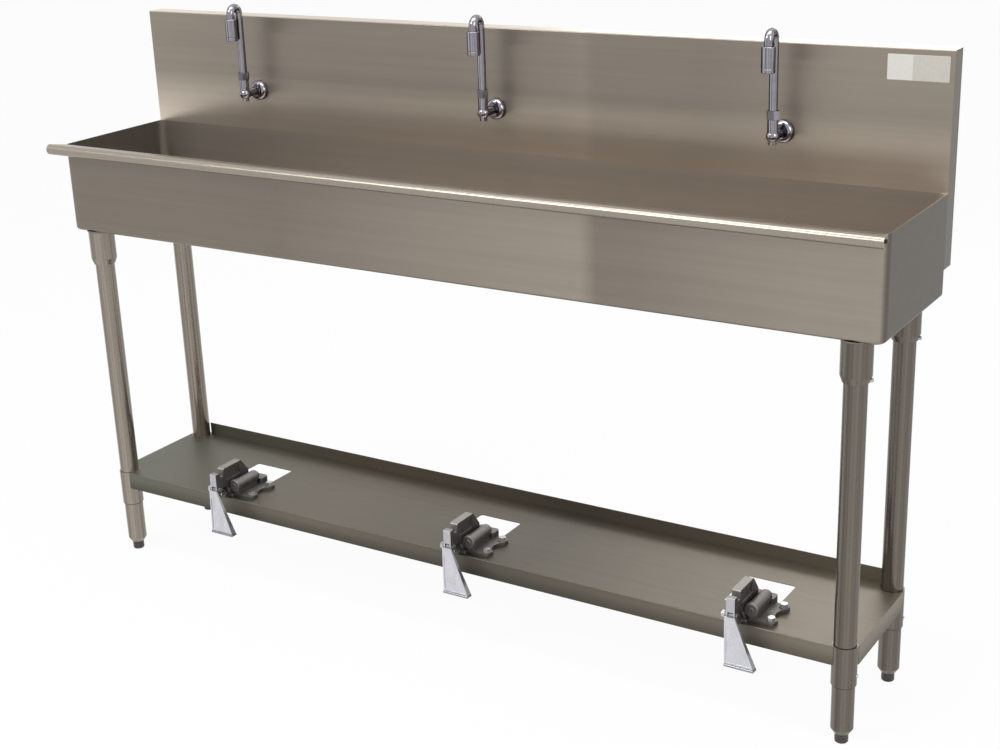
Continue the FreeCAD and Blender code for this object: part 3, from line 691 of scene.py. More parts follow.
@dataclass(frozen=True)
class PaintedHighlightArm(RoughCasting):
    """A valve casting with painted highlights on its upright arm: brightest on its front lug, and less on its
    top.
    """

    # lug and crest are painted highlight colours for the arm's front lug and its top.
    lug: Point = (0.5, 0.49, 0.53)
    crest: Point = (0.36, 0.345, 0.32)
    pin_z: float = 227.0 * MM
    crest_z: float = 250.0 * MM
    front_y: float = -175.5 * MM

    def painted_highlights(self, graph: Graph, colour: Socket) -> Socket:
        """Give the casting's colour with the painted highlights on its lug and crest.

        Args:
            graph: The finish's graph.
            colour: The cast skin's colour.

        Returns:
            The colour socket.
        """
        height = graph.along(Axis.Z)
        high = graph.fit(height, (self.crest_z - 1 * MM, self.crest_z + 1 * MM), WHOLE)
        level = graph.fit(graph.towards((0.0, -0.35, 1.0)), (0.6, 0.9), WHOLE)
        colour = graph.mixed(graph.combine("MULTIPLY", high, level), colour, self.crest)
        above = graph.fit(height, (self.pin_z - 1 * MM, self.pin_z + 1 * MM), WHOLE)
        front = graph.fit(graph.along(Axis.Y), (self.front_y + 1 * MM, self.front_y + 3 * MM), FALLING)
        upright = graph.fit(graph.towards(FRONTWARD), (0.5, 0.85), WHOLE)
        share = graph.combine("MULTIPLY", graph.combine("MULTIPLY", above, front), upright)
        return graph.mixed(share, colour, self.lug)


@dataclass(frozen=True)
class PedalPlate:
    """A cast pedal whose toe pad is plated, with a painted highlight on the forward faces of its knuckle."""

    name: str
    cast: RoughCasting
    pad: Point
    knuckle: Point
    pad_back_y: float = -176.3 * MM
    pad_top_z: float = 227.4 * MM
    heel_z: float = 216 * MM
    lip_z: float = 136.6 * MM

    def pad_share(self, graph: Graph) -> Socket:
        """Give 1 on the toe pad and its heel, and 0 on the knuckle.

        Args:
            graph: The finish's graph.

        Returns:
            The value socket.
        """
        back, height = graph.along(Axis.Y), graph.along(Axis.Z)
        front = graph.fit(back, (self.pad_back_y - 0.2 * MM, self.pad_back_y + 0.2 * MM), FALLING)
        low = graph.fit(height, (self.pad_top_z - 0.4 * MM, self.pad_top_z), FALLING)
        heel = graph.fit(height, (self.heel_z - 1 * MM, self.heel_z + 1 * MM), FALLING)
        return graph.combine("MAXIMUM", graph.combine("MULTIPLY", front, low), heel)

    def build(self) -> bpy.types.Material:
        """Wire the finish.

        Returns:
            The finished material.
        """
        graph = Graph(self.name)
        cast, rough, relief = self.cast.skin(graph)
        # Painted highlight: the knuckle's faces turned forward take the lighter knuckle colour.
        front_highlight = graph.fit(graph.towards(FRONTWARD), (0.6, 0.9), WHOLE)
        cast = graph.mixed(front_highlight, cast, self.knuckle)
        cloud = graph.noise(graph.place((1.0, 1.0, 0.4)), 70.0, 4.0, 0.6)
        plate = graph.cloudy(graph.fit(cloud, (0.3, 0.7), WHOLE), self.pad, 0.1, 0.08)
        # The pad is painted darker below the lip's height, and painted shade darkens its faces turned right.
        plate = toned(graph, plate, (
            Fade(Axis.Z, (self.lip_z - 0.6 * MM, self.lip_z + 0.6 * MM), (0.5, 1.0)),
            Facing(RIGHTWARD, (0.5, 0.8), (1.0, 0.55)),
        ))
        share = self.pad_share(graph)
        blend = graph.node("Mix", data_type="FLOAT")
        graph.link(share, blend.inputs[0])
        graph.link(rough, blend.inputs[2])
        graph.link(graph.fit(cloud, (0.35, 0.75), (0.24, 0.34)), blend.inputs[3])
        level = graph.node("Mix", data_type="VECTOR")
        graph.link(share, level.inputs[0])
        graph.link(relief, level.inputs[4])
        graph.link(graph.node("NewGeometry").outputs["Normal"], level.inputs[5])
        return graph.wired(graph.mixed(share, cast, plate), blend.outputs[0], level.outputs[1], Metallic=0.85)


@dataclass(frozen=True)
class Coated:
    """A painted, printed or rubber surface: a dull skin with slight mottling."""

    name: str
    colour: Point
    roughness: float = 0.55
    contrast: float = 0.12
    grain: float = 300.0
    relief: float = 0.06 * MM

    def build(self) -> bpy.types.Material:
        """Wire the finish.

        Returns:
            The finished material.
        """
        graph = Graph(self.name)
        mottle = graph.noise(graph.place(), self.grain, 4.0, 0.6)
        colour = graph.cloudy(graph.fit(mottle, (0.3, 0.7), WHOLE), self.colour, self.contrast, self.contrast)
        rough = graph.fit(mottle, (0.3, 0.7), (self.roughness - 0.05, self.roughness + 0.08))
        return graph.wired(colour, rough, graph.bump(mottle, self.relief, 0.4))


STEEL = (0.255, 0.223, 0.187)
SHELF_STEEL = (0.155, 0.136, 0.108)
RIM_Z = 953 * MM
# Painted reflection bands along the splash and the apron front, and painted shade and reflection along the
# shelf deck.
SPLASH_REFLECTION_BANDS = PaintedReflectionBands(((-0.91, 1.18), (-0.42, 0.94), (0.14, 0.99), (0.195, 1.03), (0.225, 0.92),
                        (0.45, 0.93), (0.76, 1.18), (0.91, 1.15)))
APRON_REFLECTION_BANDS = PaintedReflectionBands(((-0.91, 0.87), (-0.33, 0.85), (0.28, 1.32), (0.355, 1.36), (0.388, 0.93),
                       (0.47, 0.96), (0.78, 1.28), (0.91, 1.3)))
SHELF_SHADE_AND_REFLECTION_BANDS = PaintedReflectionBands(((-0.91, 1.08), (-0.3, 1.03), (0.2, 0.78), (0.6, 1.1), (0.91, 1.5)))


class Finishes:
    """Builds each finish once and hands out its material."""

    def __init__(self) -> None:
        """Build all the finishes of the sink."""
        casting = RoughCasting("rough_casting", (0.078, 0.07, 0.066), (0.24, 0.225, 0.21))
        # Splash: painted reflection bands along it, painted light lightening it towards the rim, a painted
        # highlight on its top return, and painted shade on its right end.
        self.splash = BrushedSteel("brushed_splash", STEEL, tones=(
            OnFront(SPLASH_REFLECTION_BANDS), OnFront(Fade(Axis.Z, (RIM_Z, 1.07), (2.35, 1.0))),
            Facing(UPWARD, (0.7, 0.9), (1.0, 2.5)), Facing(RIGHTWARD, (0.6, 0.9), (1.0, 0.6)))).build()
        # Painted shade on faces turned right, outside and in. The bowl's inward faces are painted lighter as
        # painted light, and darker towards the left inner corner as painted shade; its front gets painted
        # reflection bands.
        painted_shade_right_faces = Facing(RIGHTWARD, (0.6, 0.9), (1.0, 0.42))
        self.apron = BrushedSteel(
            "brushed_apron", STEEL, hollow=Hollow((0.0, 0.0015, 0.86)),
            inside_painted_shade=(painted_shade_right_faces, Fade(Axis.X, (-0.912, -0.8), (0.7, 1.0))),
            tones=(OnFront(APRON_REFLECTION_BANDS), painted_shade_right_faces)).build()
        self.rim = BrushedSteel("polished_rim", scaled(STEEL, 1.3), roughness=0.24).build()
        # Shelf: painted shade and reflection bands along the deck, and painted shade darkening the lower part
        # of the front lip.
        self.shelf = BrushedSteel(
            "brushed_shelf", SHELF_STEEL, roughness=0.46, anisotropy=0.4, left_cast=(0.15, 0.158, 0.125),
            tones=(SHELF_SHADE_AND_REFLECTION_BANDS, Fade(Axis.Z, (0.160, 0.186), (0.55, 1.0)))).build()
        # Legs: painted reflection stripes, and painted light making the left legs lighter and the right ones
        # darker.
        self.tube = BrushedSteel("brushed_tube", scaled(STEEL, 0.84), grain=Grain.ALONG_Z, roughness=0.24,
                                 tones=(PaintedReflectionStripes(0.4), Fade(Axis.X, (-0.86, 0.86), (1.4, 0.74)))).build()
        self.weld = BrushedSteel("ground_weld", scaled(STEEL, 0.8), roughness=0.42, contrast=0.25).build()
        self.drain = Plated("turned_drain", (0.4, 0.38, 0.36), roughness=0.25).build()
        self.foot = Coated("dark_foot", (0.05, 0.038, 0.03), roughness=0.4).build()
        # Faucet chrome: painted reflection stripes.
        self.chrome = Plated(
            "faucet_chrome", (0.3, 0.285, 0.32), edge=0.3, tones=(PaintedReflectionStripes(0.6, 1.9, 0.7),)).build()
        self.pedal = PedalPlate("pedal_plate", casting, (0.62, 0.62, 0.66), (0.31, 0.32, 0.31)).build()
        self.casting = casting.build()
        self.valve = PaintedHighlightArm("valve_casting", casting.dark, casting.mottle_and_highlight).build()
        self.brass = Plated("valve_bonnet", (0.12, 0.11, 0.1), roughness=0.35).build()
        self.bright = Plated("bright_steel", (0.58, 0.57, 0.56), roughness=0.26).build()
        self.rubber = Coated("black_rubber", (0.02, 0.02, 0.02), roughness=0.7).build()
        self.sticker = Coated("sticker_light", (0.66, 0.64, 0.6), roughness=0.4, contrast=0.03).build()
        self.sticker_band = Coated("sticker_grey", (0.52, 0.5, 0.455), roughness=0.4, contrast=0.05).build()


# ---------------------------------------------------------------------------
# Meshes
# ---------------------------------------------------------------------------

Ring = list[Point]


def circle(at: Point, axis: Axis, radius: float, height: float, steps: int = 40) -> Ring:
    """Give points round an axis.

    Args:
        at: Where the axis starts.
        axis: The line that the circle stands round.
        radius: The circle's radius.
        height: Its place along the axis.
        steps: Points round it.

    Returns:
        The points in order.
    """
    turns = [2 * math.pi * i / steps for i in range(steps)]
    return [axis.place(at, radius * math.cos(t), radius * math.sin(t), height) for t in turns]


def hexagon(at: Point, axis: Axis, flats: float, height: float, steps: int = 36) -> Ring:
    """Give points round a hexagon, as many as a circle that it is joined to.

    Args:
        at: Where the axis starts.
        axis: The line that the hexagon stands round.
        flats: Its width across flats.
        height: Its place along the axis.
        steps: Points round it.

    Returns:
        The points in order.
    """
    points = []
    for i in range(steps):
        turn = 2 * math.pi * i / steps
        off = (turn + math.pi / 6) % (math.pi / 3) - math.pi / 6
        radius = flats / 2 / math.cos(off)
        points.append(axis.place(at, radius * math.cos(turn), radius * math.sin(turn), height))
    return points


def loft(work: bmesh.types.BMesh, rings: Sequence[Ring], first: bool = True, last: bool = True,
         looped: bool = False) -> None:
    """Skin a row of rings of equal length.

    Args:
        work: The mesh to add to.
        rings: The rings in order.
        first: Whether the first ring is closed by a face.
        last: Whether the last ring is closed by a face.
        looped: Whether the last ring joins the first, which leaves both open.
    """
    rows = [[work.verts.new(p) for p in ring] for ring in rings]
    count = len(rows[0])
    pairs = list(zip(rows, rows[1:]))
    if looped:
        pairs.append((rows[-1], rows[0]))
    for low, high in pairs:
        for i in range(count):
            j = (i + 1) % count
            work.faces.new((low[i], low[j], high[j], high[i]))
    if first and not looped:
        work.faces.new(rows[0])
    if last and not looped:
        work.faces.new(rows[-1])


def turned(work: bmesh.types.BMesh, at: Point, axis: Axis, profile: Sequence[Span], steps: int = 40) -> None:
    """Turn a closed outline of (radius, height) points about an axis.

    Args:
        work: The mesh to add to.
        at: Where the axis starts.
        axis: The line that it is turned about.
        profile: The outline, which joins back to its first point.
        steps: Points round it.
    """
    loft(work, [circle(at, axis, radius, height, steps) for radius, height in profile], looped=True)


def ring_bead(work: bmesh.types.BMesh, at: Point, radius: float, thickness: float, ripples: int) -> None:
    """Lay a rippled weld bead in a level ring.

    Args:
        work: The mesh to add to.
        at: The ring's middle.
        radius: Radius of the bead's middle line.
        thickness: Radius of the bead itself.
        ripples: Weld ripples round the ring.
    """
    around = 10
    steps = ripples * 5
    rows = []
    for i in range(steps):
        turn = 2 * math.pi * i / steps
        swell = thickness * (0.86 + 0.14 * abs(math.sin(turn * ripples / 2)) + 0.06 * math.sin(turn * 3))
        row = []
        for k in range(around):
            lean = 2 * math.pi * k / around
            out = radius + swell * math.cos(lean)
            row.append(Axis.Z.place(at, out * math.cos(turn), out * math.sin(turn), swell * math.sin(lean)))
        rows.append(row)
    loft(work, rows, looped=True)


def thread(work: bmesh.types.BMesh, at: Point, axis: Axis, radius: float, length: float, pitch: float,
           depth: float) -> None:
    """Wind a screw thread's ridge round a shank.

    Args:
        work: The mesh to add to.
        at: Where the thread starts.
        axis: The shank's line.
        radius: Radius at the thread's root, just inside the shank's skin.
        length: Length along the shank.
        pitch: Distance between turns.
        depth: Height of the ridge.
    """
    per_turn = 36
    steps = int(length / pitch * per_turn)
    rows = []
    for i in range(steps + 1):
        turn, height = 2 * math.pi * i / per_turn, length * i / steps
        tall = depth * min(1.0, 8 * i / steps, 8 * (steps - i) / steps)
        row = []
        for out, lift in ((0.0, -0.48), (tall, -0.08), (tall, 0.08), (0.0, 0.48)):
            row.append(axis.place(at, (radius + out) * math.cos(turn), (radius + out) * math.sin(turn),
                                  height + lift * pitch))
        rows.append(row)
    loft(work, rows)


def rounded_plate(work: bmesh.types.BMesh, low: Span, high: Span, corner: float, back: float, front: float,
                  soft: float) -> None:
    """Cut a thin upright plate with rounded corners and a softened front edge.

    Args:
        work: The mesh to add to.
        low: Its left and lower limits.
        high: Its right and upper limits.
        corner: Radius of its corners.
        back: Place of its back along Y.
        front: Place of its front along Y.
        soft: Width of the softened edge.
    """
    def outline(inset: float, y: float) -> Ring:
        """Give the plate's outline, drawn in by an inset, at a place along Y.

        Args:
            inset: How far the outline is drawn in.
            y: Its place along Y.

        Returns:
            The points in order.
        """
        points = []
        corners = ((high[0], high[1], 0), (low[0], high[1], 90),
                   (low[0], low[1], 180), (high[0], low[1], 270))
        for x, z, start in corners:
            cx = x - math.copysign(corner, x - (low[0] + high[0]) / 2)
            cz = z - math.copysign(corner, z - (low[1] + high[1]) / 2)
            for step in range(7):
                turn = math.radians(start + 15 * step)
                reach = corner - inset
                points.append((cx + reach * math.cos(turn), y, cz + reach * math.sin(turn)))
        return points

    lift = (front - back) / 2
    loft(work, [outline(0.0, back), outline(0.0, back + lift), outline(soft, front)])


def screw_cup(work: bmesh.types.BMesh, at: Point, axis: Axis, outward: float, radius: float, flats: float,
              height: float) -> None:
    """Form a socket-headed screw's end: a chamfered rim round a hexagonal recess.

    Args:
        work: The mesh to add to.
        at: Middle of the face that it sits on.
        axis: The screw's line.
        outward: 1 or -1, the way that it faces along the axis.
        radius: The rim's outer radius.
        flats: The recess's width across flats.
        height: How far the rim stands up.
    """
    up = outward * height
    loft(work, [
        circle(at, axis, radius, 0.0, 36), circle(at, axis, radius, 0.6 * up, 36),
        circle(at, axis, 0.9 * radius, up, 36), hexagon(at, axis, flats, up, 36),
        hexagon(at, axis, 0.97 * flats, 0.12 * up, 36),
    ])


# ---------------------------------------------------------------------------
# Pieces
# ---------------------------------------------------------------------------

class Workshop:
    """Turns meshes into pieces of the sink and reports each one."""

    def __init__(self, finishes: Finishes) -> None:
        """Keep the finishes at hand.

        Args:
            finishes: Materials of the sink.
        """
        self.finishes = finishes
        self.count = 0

    def piece(self, name: str, build: Callable[[bmesh.types.BMesh], None], finish: bpy.types.Material,
              body: str, sharp: float = 32.0) -> bpy.types.Object:
        """Make one piece from a mesh builder.

        Args:
            name: The piece's name.
            build: Fills the mesh.
            finish: Its material.
            body: The body that it rides on.
            sharp: Edges steeper than this many degrees stay sharp.

        Returns:
            The new object.
        """
        work = bmesh.new()
        build(work)
        bmesh.ops.recalc_face_normals(work, faces=work.faces)
        mesh = bpy.data.meshes.new(name)
        work.to_mesh(mesh)
        work.free()
        mesh.shade_smooth()
        mesh.set_sharp_from_angle(angle=math.radians(sharp))
        mesh.materials.append(finish)
        made = bpy.data.objects.new(name, mesh)
        bpy.context.scene.collection.objects.link(made)
        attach(made, body)
        self.count += 1
        log.info("%s on %s, %d faces", name, body, len(mesh.polygons))
        return made

    def dress(self, node: str, finish: bpy.types.Material) -> None:
        """Give a frame node its material.

        Args:
            node: The node's name.
            finish: Its material.
        """
        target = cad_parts[node]
        target.data.materials.clear()
        target.data.materials.append(finish)
        self.count += 1
        log.info("%s dressed", node)


@dataclass
class Trough:
    """The bowl, its rolled rim and the splash, with the blank two-tone sticker on the splash."""

    sticker_left: float = 797 * MM
    sticker_right: float = 906 * MM
    sticker_low: float = 1144 * MM
    sticker_high: float = 1188 * MM
    band_left: float = 842 * MM
    splash_face_y: float = 152.4 * MM
    paper: float = 0.3 * MM
    corner: float = 1.5 * MM

    def build(self, shop: Workshop) -> None:
        """Dress the sheet work and stick the sticker on.

        Args:
            shop: Where pieces are made.
        """
        shop.dress("bowl", shop.finishes.apron)
        shop.dress("rolled_rim", shop.finishes.rim)
        shop.dress("backsplash", shop.finishes.splash)
        shop.piece("sticker_paper", self.paper_sheet, shop.finishes.sticker, "root")
        shop.piece("sticker_band", self.band, shop.finishes.sticker_band, "root")

    def paper_sheet(self, work: bmesh.types.BMesh) -> None:
        """Cut the sticker's light sheet."""
        rounded_plate(work, (self.sticker_left, self.sticker_low), (self.sticker_right, self.sticker_high),
                      self.corner, self.splash_face_y, self.splash_face_y - self.paper, 0.1 * MM)

    def band(self, work: bmesh.types.BMesh) -> None:
        """Cut the greyer part that covers the sticker's right side.

        Args:
            work: The mesh to add to.
        """
        back = self.splash_face_y - 0.8 * self.paper
        rounded_plate(work, (self.band_left, self.sticker_low + 0.4 * MM),
                      (self.sticker_right - 0.4 * MM, self.sticker_high - 0.4 * MM),
                      self.corner, back, back - 0.6 * self.paper, 0.1 * MM)


@dataclass
class LegSet:
    """Four tube legs with their gussets, shelf sockets, set screws and feet."""

    leg_x: float = 861 * MM
    front_y: float = -121.5 * MM
    rear_y: float = 124.5 * MM
    tube_radius: float = 20.65 * MM
    gusset_radius: float = 27.5 * MM
    bowl_bottom: float = 766 * MM
    bead: float = 1.7 * MM
    bead_ripples: int = 38
    socket_radius: float = 23.05 * MM
    socket_bottom: float = 119 * MM
    # Height of the black ring painted in as shadow under each socket.
    shadow_ring_height: float = 1.6 * MM
    gusset_screw: tuple[float, float] = (890.5 * MM, 696 * MM)
    shelf_screw: tuple[float, float] = (886.0 * MM, 139 * MM)
    screw_radius: float = 3.5 * MM
    screw_flats: float = 3.2 * MM
    screw_rim: float = 0.6 * MM

    def foot_of(self, corner: Corner) -> Point:
        """Give the middle of a leg on the floor."""
        along, deep = corner.value
        return along * self.leg_x, self.front_y if deep < 0 else self.rear_y, 0.0

    def build(self, shop: Workshop) -> None:
        """Dress the legs and add their welds, the black rings of painted shadow under the sockets, and screw
        ends.

        Args:
            shop: Where pieces are made.
        """
        for corner in Corner:
            name = corner.name.lower()
            for part in ("leg", "leg_gusset", "shelf_socket"):
                shop.dress(f"{part}_{name}", shop.finishes.tube)
            shop.dress(f"foot_{name}", shop.finishes.foot)
            shop.piece(f"gusset_weld_{name}", self.weld(corner), shop.finishes.weld, "root")
            # A black ring stands in for the shadow in the gap under each shelf socket: painted shadow.
            shop.piece(f"socket_bush_{name}", self.shadow_ring(corner), shop.finishes.rubber, "root")
        for node in ("leg_channel_left", "leg_channel_right"):
            shop.dress(node, shop.finishes.shelf)
        shop.dress("leg_inserts", shop.finishes.tube)
        for node in ("gusset_screws", "shelf_screws"):
            shop.dress(node, shop.finishes.bright)
        for name, spot in (("gusset_screw_ends", self.gusset_screw), ("shelf_screw_ends", self.shelf_screw)):
            shop.piece(name, self.screw_ends(*spot), shop.finishes.bright, "root")

    def weld(self, corner: Corner) -> Callable[[bmesh.types.BMesh], None]:
        """Give the builder of the bead between a gusset and the bowl.

        Args:
            corner: Which leg it belongs to.

        Returns:
            The mesh builder.
        """
        x, y, _ = self.foot_of(corner)
        at = (x, y, self.bowl_bottom - 0.8 * MM)
        return lambda work: ring_bead(work, at, self.gusset_radius + 0.5 * MM, self.bead, self.bead_ripples)

    def shadow_ring(self, corner: Corner) -> Callable[[bmesh.types.BMesh], None]:
        """Give the builder of the black ring that stands in for the shadow in the gap under a shelf socket.

        Args:
            corner: Which leg it belongs to.

        Returns:
            The mesh builder.
        """
        inner, outer = self.tube_radius + SUNK, self.socket_radius - 0.2 * MM
        low, high = -self.shadow_ring_height, SUNK
        outline = ((inner, high), (outer, high), (outer, 0.4 * low), (outer - 0.6 * MM, low), (inner, low))
        x, y, _ = self.foot_of(corner)
        return lambda work: turned(work, (x, y, self.socket_bottom), Axis.Z, outline)

    def screw_ends(self, reach: float, height: float) -> Callable[[bmesh.types.BMesh], None]:
        """Give the builder of the four socketed ends of a row of set screws.

        Args:
            reach: How far out the screws end along X.
            height: Their height.

        Returns:
            The mesh builder.
        """
        def ends(work: bmesh.types.BMesh) -> None:
            """Form a cup on the end of each screw.

            Args:
                work: The mesh to add to.
            """
            for corner in Corner:
                side = corner.value[0]
                at = (side * (reach - SUNK), self.foot_of(corner)[1], height)
                screw_cup(work, at, Axis.X, side, self.screw_radius, self.screw_flats, self.screw_rim)
        return ends


@dataclass
class Undershelf:
    """The shelf between the legs."""

    def build(self, shop: Workshop) -> None:
        """Dress the shelf."""
        shop.dress("undershelf", shop.finishes.shelf)


@dataclass
class Faucet:
    """One splash-mounted gooseneck: flange, body, nut, spout, head and shank."""

    station: int
    drop_y: float = 76.4 * MM
    mouth_z: float = 1156 * MM
    mouth_radius: float = 9.5 * MM
    former_inset: float = 0.7 * MM
    former_depth: float = 4.4 * MM
    former_rim: float = 1.1 * MM
    wall: float = 0.4 * MM
    inner_rings: tuple[float, ...] = (2.2 * MM, 4.6 * MM, 7.0 * MM)
    vanes: int = 12
    shank_z: float = 1040 * MM
    shank_radius: float = 10.4 * MM
    thread_start: float = 160.8 * MM
    thread_length: float = 22.4 * MM
    thread_pitch: float = 1.8 * MM
    thread_depth: float = 0.75 * MM

    def build(self, shop: Workshop) -> None:
        """Dress the faucet and add its stream former and shank thread.

        Args:
            shop: Where pieces are made.
        """
        n, chrome = self.station, shop.finishes.chrome
        for part in ("faucet_flange", "faucet_body", "coupling_nut", "spout", "outlet_head"):
            shop.dress(f"{part}_{n}", chrome)
        shop.piece(f"stream_former_{n}", self.former, shop.finishes.drain, f"spout_{n}")
        shop.piece(f"shank_thread_{n}", self.shank_thread, shop.finishes.drain, "root")

    def former(self, work: bmesh.types.BMesh) -> None:
        """Build the ringed and vaned former in the head's mouth.

        Args:
            work: The mesh to add to.
        """
        at = (station_x(self.station), self.drop_y, self.mouth_z)
        low, high = self.former_inset, self.former_inset + self.former_depth
        reach = self.mouth_radius - SUNK
        rim = reach - self.former_rim
        turned(work, at, Axis.Z, ((reach, low), (reach, high), (rim, high), (rim, low + 0.5 * MM),
                                  (rim + 0.5 * MM, low)))
        for radius in self.inner_rings:
            outer, inner, foot = radius + self.wall / 2, radius - self.wall / 2, low + 0.6 * MM
            turned(work, at, Axis.Z, ((outer, foot), (outer, high), (inner, high), (inner, foot)))
        for i in range(self.vanes):
            self.vane(work, at, 2 * math.pi * i / self.vanes, rim + 0.2 * MM, low + 0.8 * MM, high)
        loft(work, [circle(at, Axis.Z, reach, high), circle(at, Axis.Z, reach, high + 0.3 * MM)])

    def vane(self, work: bmesh.types.BMesh, at: Point, turn: float, reach: float, low: float,
             high: float) -> None:
        """Stand one thin vane from the middle ring out to the rim.

        Args:
            work: The mesh to add to.
            at: The former's place.
            turn: The vane's angle.
            reach: Where it ends.
            low: Its lower edge, above the mouth.
            high: Its upper edge, above the mouth.
        """
        half = self.wall / 2
        rings = []
        for radius in (self.inner_rings[0], reach):
            ring = []
            for side, height in ((-half, low), (half, low), (half, high), (-half, high)):
                x = radius * math.cos(turn) - side * math.sin(turn)
                y = radius * math.sin(turn) + side * math.cos(turn)
                ring.append((at[0] + x, at[1] + y, at[2] + height))
            rings.append(ring)
        loft(work, rings)

    def shank_thread(self, work: bmesh.types.BMesh) -> None:
        """Wind the thread on the inlet shank behind the splash."""
        at = (station_x(self.station), self.thread_start, self.shank_z)
        thread(work, at, Axis.Y, self.shank_radius - 0.3 * MM, self.thread_length, self.thread_pitch,
               self.thread_depth)


@dataclass
class ToeValve:
    """One toe-pedal valve: casting, chamber cap, pedal and plunger."""

    station: int
    offset: float = 55 * MM
    hinge_y: float = -167.5 * MM
    hinge_z: float = 226 * MM
    chamber_x: float = 23 * MM
    cap_y: float = 31 * MM
    cup_radius: float = 6.6 * MM
    cup_flats: float = 6.5 * MM
    cup_rim: float = 1.0 * MM
    stud_circle: float = 10.4 * MM
    studs: int = 6
    stud_profile: tuple[Span, ...] = ((1.1 * MM, 0.0), (1.1 * MM, 0.3 * MM), (0.7 * MM, 0.55 * MM))

    @property
    def middle(self) -> Point:
        """The hinge's place."""
        return station_x(self.station) + self.offset, self.hinge_y, self.hinge_z

    def build(self, shop: Workshop) -> None:
        """Dress the valve and add the chamber cap's key socket.

        Args:
            shop: Where pieces are made.
        """
        n = self.station
        shop.dress(f"valve_body_{n}", shop.finishes.valve)
        shop.dress(f"pedal_{n}", shop.finishes.pedal)
        shop.dress(f"plunger_{n}", shop.finishes.bright)
        shop.piece(f"cap_key_{n}", self.cap_key, shop.finishes.casting, "root")

    def cap_key(self, work: bmesh.types.BMesh) -> None:
        """Form the key socket and the ring of studs on the chamber cap's face.

        Args:
            work: The mesh to add to.
        """
        x, y, z = self.middle
        at = (x + self.chamber_x, y + self.cap_y + SUNK, z)
        screw_cup(work, at, Axis.Y, -1.0, self.cup_radius, self.cup_flats, self.cup_rim)
        for stud in circle(at, Axis.Y, self.stud_circle, 0.0, self.studs):
            loft(work, [circle(stud, Axis.Y, radius, -height, 12) for radius, height in self.stud_profile])


@dataclass
class BasketDrain:
    """The drain body, gasket, locknut and strainer, with the thread on the drain's tail."""

    centre_y: float = 20 * MM
    thread_bottom: float = 719.6 * MM
    tail_radius: float = 24.15 * MM
    thread_pitch: float = 2.2 * MM
    thread_depth: float = 0.9 * MM
    thread_length: float = 18 * MM

    def build(self, shop: Workshop) -> None:
        """Dress the drain and wind the thread on its tail.

        Args:
            shop: Where pieces are made.
        """
        for node in ("drain_body", "drain_locknut", "strainer_basket"):
            shop.dress(node, shop.finishes.drain)
        shop.dress("drain_gasket", shop.finishes.rubber)
        shop.piece("drain_tail_thread", self.tail_thread, shop.finishes.drain, "root")

    def tail_thread(self, work: bmesh.types.BMesh) -> None:
        """Wind the thread on the tail."""
        at = (0.0, self.centre_y, self.thread_bottom)
        thread(work, at, Axis.Z, self.tail_radius - 0.3 * MM, self.thread_length, self.thread_pitch,
               self.thread_depth)


@dataclass
class Fasteners:
    """Nuts, bolts, pins, bonnets and washers that are one frame node for all stations."""

    bright: tuple[str, ...] = ("hinge_pins", "hinge_nuts", "valve_bolts", "faucet_locknuts")

    def build(self, shop: Workshop) -> None:
        """Dress them.

        Args:
            shop: Where pieces are made.
        """
        for node in self.bright:
            shop.dress(node, shop.finishes.bright)
        shop.dress("valve_caps", shop.finishes.casting)
        shop.dress("valve_bonnets", shop.finishes.brass)
        shop.dress("faucet_washers", shop.finishes.rubber)


# ---------------------------------------------------------------------------
# Studio
# ---------------------------------------------------------------------------

SEEN_RAYS = ("Is Camera Ray", "Is Glossy Ray", "Is Transmission Ray")


@dataclass(frozen=True)
class Lamp:
    """One soft rectangular lamp: where it hangs, what it faces, its width and height, and its watts."""

    name: str
    at: Point
    aim: Point
    size: Span
    power: float

    def hang(self) -> None:
        """Hang the lamp."""
        data = bpy.data.lights.new(self.name, "AREA")
        data.shape = "RECTANGLE"
        data.size, data.size_y = self.size
        data.energy = self.power
        made = bpy.data.objects.new(self.name, data)
        made.location = self.at
        made.rotation_euler = (Vector(self.aim) - Vector(self.at)).to_track_quat("-Z", "Y").to_euler()
        bpy.context.scene.collection.objects.link(made)


